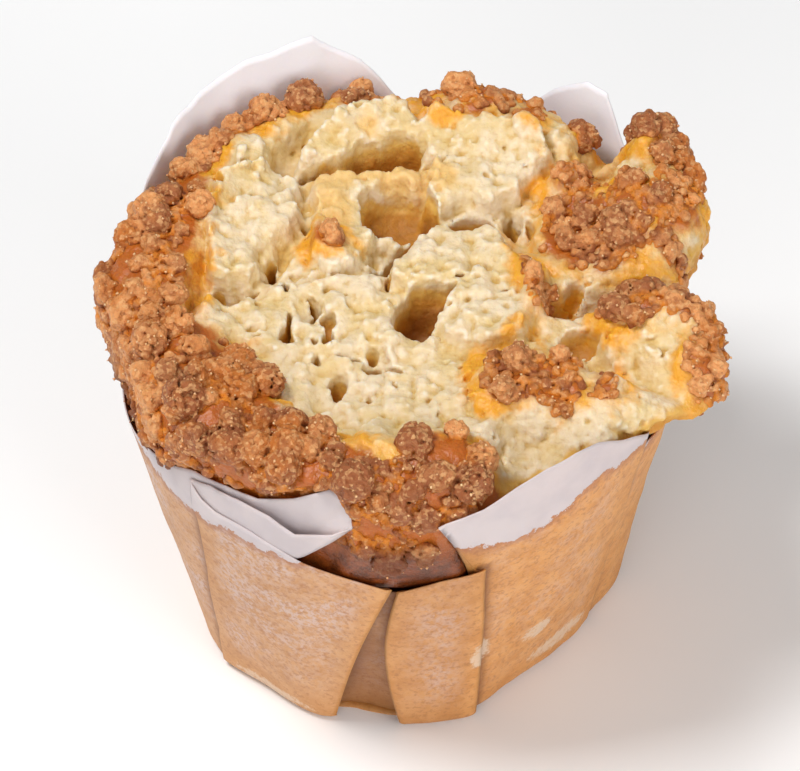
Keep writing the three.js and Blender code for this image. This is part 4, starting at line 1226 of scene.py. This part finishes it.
def crumb_material():
    n = Nodes("crumb")
    place = n.place()
    broad = n.noise(place, 7.0)
    small = n.noise(place, 1.6)
    fine = n.noise(place, 0.5)
    cream_light_and_shade = n.mix(n.ramp(broad, 0.38, 0.62), linear(228, 208, 174), linear(221, 194, 140))
    crest = n.attribute("crest")
    # Painted shade: yellower and darker in broad hollows and in creases
    cream_light_and_shade = n.over(cream_light_and_shade, n.attribute("hill"), 0.1, -0.6, (212, 174, 92), 0.9)
    cream_light_and_shade = n.over(cream_light_and_shade, crest, -0.02, -0.3, (206, 164, 88))
    # Painted highlight on the crests of the lumps
    cream_light_and_shade = n.over(cream_light_and_shade, crest, 0.02, 0.26, (233, 219, 197))
    # Painted shade: the holes and cracks darker and browner the deeper they go
    pit = n.plus(n.attribute("pit"), n.times(n.minus(small, 0.5), 0.5))
    cream_light_and_shade = n.over(cream_light_and_shade, pit, 0.15, 0.6, (218, 172, 84))
    cream_light_and_shade = n.over(cream_light_and_shade, pit, 0.6, 1.2, (194, 134, 44))
    cream_light_and_shade = n.over(cream_light_and_shade, pit, 1.3, 2.2, (158, 98, 26))
    skin = n.plus(n.attribute("skin"), n.times(n.minus(broad, 0.5), 0.8))
    cream_light_and_shade = n.over(cream_light_and_shade, skin, 0.3, 0.9, (228, 184, 108), 0.75)
    edge = n.plus(n.attribute("streusel"), n.times(n.minus(small, 0.5), 2.4))
    patchy = n.ramp(n.noise(place, 5.0), 0.35, 0.6)
    reach = n.plus(edge, n.times(patchy, 1.2))
    glaze = n.times(n.ramp(reach, -1.1, 0.8), n.plus(0.3, n.times(patchy, 0.7)))
    cream_light_and_shade = n.mix(glaze, cream_light_and_shade, linear(230, 164, 44))
    cream_light_and_shade = n.over(cream_light_and_shade, edge, 0.6, 2.2, (182, 98, 28))
    crust = n.mix(n.ramp(small, 0.35, 0.65), linear(132, 64, 20), linear(92, 42, 12))
    colour = n.mix(n.attribute("wall"), cream_light_and_shade, crust)
    curds = n.minus(1.0, n.cells(place, 0.8))
    height = n.plus(n.times(curds, 0.18), n.times(fine, 0.9))
    n.bump(height, 0.34, 0.6)
    rough = n.minus(0.62, n.times(n.ramp(edge, -2.2, 0.5), 0.26))
    return n.finish(colour, rough, 1.2, 0.6, (1.0, 0.8, 0.45))


def crust_material():
    n = Nodes("crust")
    place = n.place()
    colour = n.mix(n.ramp(n.noise(place, 3.0), 0.35, 0.65), linear(132, 64, 20), linear(92, 42, 12))
    n.bump(n.noise(place, 0.8), 0.3, 0.6)
    return n.finish(colour, n.plus(0.4, n.times(n.noise(place, 1.0), 0.2)), 0.5, 0.1)


def streusel_material():
    n = Nodes("streusel")
    place = n.place()
    tone = n.attribute("tone")
    crest = n.attribute("crest")
    broad = n.noise(place, 8.0)
    small = n.noise(place, 0.8)
    # The tone carries the shift round the rim, lighter at the left as painted light
    brown_light_and_shade = n.mix(n.ramp(tone, 0.1, 0.9), linear(158, 89, 44), linear(230, 156, 92))
    brown_light_and_shade = n.over(brown_light_and_shade, broad, 0.48, 0.68, (196, 112, 36))
    grain = n.plus(n.times(n.grains(place, 0.45), 0.5), n.times(small, 0.5))
    brown_light_and_shade = n.over(brown_light_and_shade, grain, 0.5, 0.8, (240, 186, 126), 0.6)
    brown_light_and_shade = n.over(brown_light_and_shade, grain, 0.42, 0.2, (150, 80, 34), 0.45)
    # Painted shade in the creases between granules
    brown_light_and_shade = n.over(brown_light_and_shade, crest, 0.0, -0.26, (118, 54, 14))
    # Painted highlight on the proud granules, stronger on paler ones
    proud = n.times(n.ramp(crest, 0.05, 0.3), n.plus(0.4, n.times(tone, 0.45)))
    brown_light_and_shade = n.mix(proud, brown_light_and_shade, linear(246, 188, 118))
    # Next to the crumb, low between the lumps: partly butter glaze, partly painted shade in dark brown
    low = n.plus(n.attribute("lift"), n.times(n.minus(small, 0.5), 1.2))
    glaze = n.mix(n.ramp(n.noise(place, 3.5), 0.45, 0.62), linear(226, 134, 20), linear(140, 66, 16))
    brown_light_and_shade = n.mix(n.times(n.ramp(low, 1.0, 0.1), 0.9), brown_light_and_shade, glaze)
    brown_light_and_shade = n.over(brown_light_and_shade, n.part(place, 2), 50.0, 46.0, (108, 50, 20), 0.8)
    grit = n.plus(n.noise(place, 0.35, 4.0, 0.7), n.times(n.cells(place, 0.45), 0.5))
    n.bump(grit, 0.34, 0.9)
    rough = n.minus(0.58, n.times(n.ramp(small, 0.4, 0.7), 0.22))
    return n.finish(brown_light_and_shade, rough, 0.35, 0.12, (1.0, 0.5, 0.25))


def sand_material():
    n = Nodes("sugar_sand")
    colour = n.mix(n.attribute("tone"), linear(206, 144, 94), linear(238, 196, 146))
    return n.finish(colour, n.plus(0.3, n.times(n.noise(n.place(), 0.5), 0.3)), 0.4, 0.3)


def paper_material():
    n = Nodes("baking_paper")
    place = n.place()
    fibres = n.noise(n.stretch(place, (1.0, 1.0, 0.8)), 0.9, 6.0, 0.75)
    fine = n.noise(place, 0.4, 5.0, 0.7)
    speck = n.noise(place, 0.7, 3.0, 0.6)
    broad = n.noise(place, 9.0)
    middle = n.noise(place, 3.4)
    crease = n.attribute("crease")
    height = n.attribute("height")
    soak = n.attribute("soak")
    pale = n.mix(n.ramp(middle, 0.35, 0.65), linear(204, 150, 100), linear(192, 136, 84))
    deep = n.mix(n.ramp(middle, 0.35, 0.65), linear(218, 150, 78), linear(204, 134, 60))
    stain_and_shade = n.mix(soak, pale, deep)
    # Fat dries to a pale bloom in the middle of each panel
    bloom = n.times(n.ramp(crease, 0.8, 5.5), n.ramp(height, 3.0, 12.0))
    bloom = n.times(bloom, n.plus(0.3, n.times(n.ramp(broad, 0.4, 0.62), 0.7)))
    bloom = n.times(bloom, n.minus(1.0, n.times(soak, 0.65)))
    bloom = n.times(bloom, n.ramp(fibres, 0.38, 0.6))
    stain_and_shade = n.mix(n.times(bloom, 0.85), stain_and_shade, linear(206, 180, 172))
    stain_and_shade = n.over(stain_and_shade, speck, 0.5, 0.66, (166, 106, 60), 0.55)
    stain_and_shade = n.over(stain_and_shade, fine, 0.5, 0.7, (222, 174, 116), 0.3)
    golden = n.plus(n.ramp(crease, 1.2, 0.1), n.times(n.ramp(height, 7.0, 0.0), 0.6))
    stain_and_shade = n.mix(n.times(golden, 0.6), stain_and_shade, linear(196, 130, 56))
    # Painted shade beside the folds, in the pleats and on the narrow front panel
    stain_and_shade = n.mix(n.times(n.attribute("tuck"), 0.8), stain_and_shade, linear(120, 66, 22))
    worn = n.plus(n.attribute("worn"), n.times(n.minus(fibres, 0.5), 2.6))
    stain_and_shade = n.over(stain_and_shade, worn, 0.4, 0.95, (224, 202, 178), 0.65)
    white_and_light = n.mix(n.ramp(broad, 0.4, 0.65), linear(206, 193, 192), linear(196, 184, 185))
    # Painted light: the white band paler towards the back, where the paper is lit through
    white_and_light = n.over(white_and_light, n.part(place, 1), -10.0, 12.0, (240, 236, 240))
    torn = n.noise(n.stretch(place, (1.0, 1.0, 0.8)), 2.2, 5.0, 0.75)
    ragged = n.times(n.minus(torn, 0.5), 6.5)
    dry = n.plus(n.attribute("dry"), ragged)
    tide = n.times(n.ramp(dry, -2.4, -0.05), 0.6)
    stain_and_shade = n.mix(tide, stain_and_shade, linear(158, 96, 66))
    colour = n.mix(n.ramp(dry, -0.1, 0.15), stain_and_shade, white_and_light)
    n.bump(n.plus(fibres, n.times(fine, 0.6)), 0.1, 0.5)
    rough = n.plus(0.45, n.times(middle, 0.2))
    return n.finish(colour, rough, 0.6, 0.2, (1.0, 0.7, 0.5))


def floor_material():
    n = Nodes("pale_floor")
    colour = n.mix(n.noise(n.place(), 60.0), linear(250, 250, 250), linear(246, 246, 246))
    return n.finish(colour, 0.9)


crumb_skin = crumb_material()
crust = crust_material()
streusel_skin = streusel_material()
sugar = sand_material()
paper = paper_material()

cake_grid, cake_field, crown_points, crown_faces = make_cake(crumb_skin, crust)
make_streusel(cake_grid, cake_field, crown_points, crown_faces, streusel_skin, sugar)
make_paper(paper)


# Floor, camera and light
def make_floor(material):
    half = 3000.0
    points = np.array([[-half, -half, 0], [half, -half, 0], [half, half, 0], [-half, half, 0]])
    mesh = bpy.data.meshes.new("floor")
    mesh.from_pydata((points * MM).tolist(), [], [[0, 1, 2, 3]])
    mesh.materials.append(material)
    floor = bpy.data.objects.new("floor", mesh)
    bpy.context.scene.collection.objects.link(floor)


make_floor(floor_material())

CAMERA_TILT = math.radians(46.0)
CAMERA_AWAY = 600.0
CAMERA_TARGET = Vector((-1.7, 0.0, 39.0))
LENS = 202.5

camera_data = bpy.data.cameras.new("camera")
camera_data.lens = LENS
camera_data.sensor_width = 36.0
camera_data.clip_start = 0.01
camera = bpy.data.objects.new("camera", camera_data)
back = Vector((0.0, -math.cos(CAMERA_TILT), math.sin(CAMERA_TILT)))
camera.matrix_world = Matrix.Translation((CAMERA_TARGET + CAMERA_AWAY * back) * MM) @ back.to_track_quat(
    "Z", "Y"
).to_matrix().to_4x4()
bpy.context.scene.collection.objects.link(camera)
bpy.context.scene.camera = camera


def soft_light(name, place, width, power, colour=(1.0, 1.0, 1.0)):
    """A square area light aimed at the middle of the muffin."""
    data = bpy.data.lights.new(name, "AREA")
    data.size = width
    data.energy = power
    data.color = colour
    light = bpy.data.objects.new(name, data)
    spot = Vector(place)
    aim = spot - Vector((0.0, 0.0, 0.03))
    light.matrix_world = Matrix.Translation(spot) @ aim.to_track_quat("Z", "Y").to_matrix().to_4x4()
    bpy.context.scene.collection.objects.link(light)


soft_light("key", (-0.30, -0.05, 0.75), 0.24, 4.2)
soft_light("fill", (0.55, -0.6, 0.4), 0.5, 3.2)
soft_light("front", (-0.25, -0.8, 0.35), 0.5, 2.2)

world = bpy.data.worlds.new("world")
world.use_nodes = True
world.node_tree.nodes["Background"].inputs["Color"].default_value = (1.0, 1.0, 1.0, 1.0)
world.node_tree.nodes["Background"].inputs["Strength"].default_value = 0.3
bpy.context.scene.world = world
bpy.context.scene.view_settings.view_transform = "Standard"
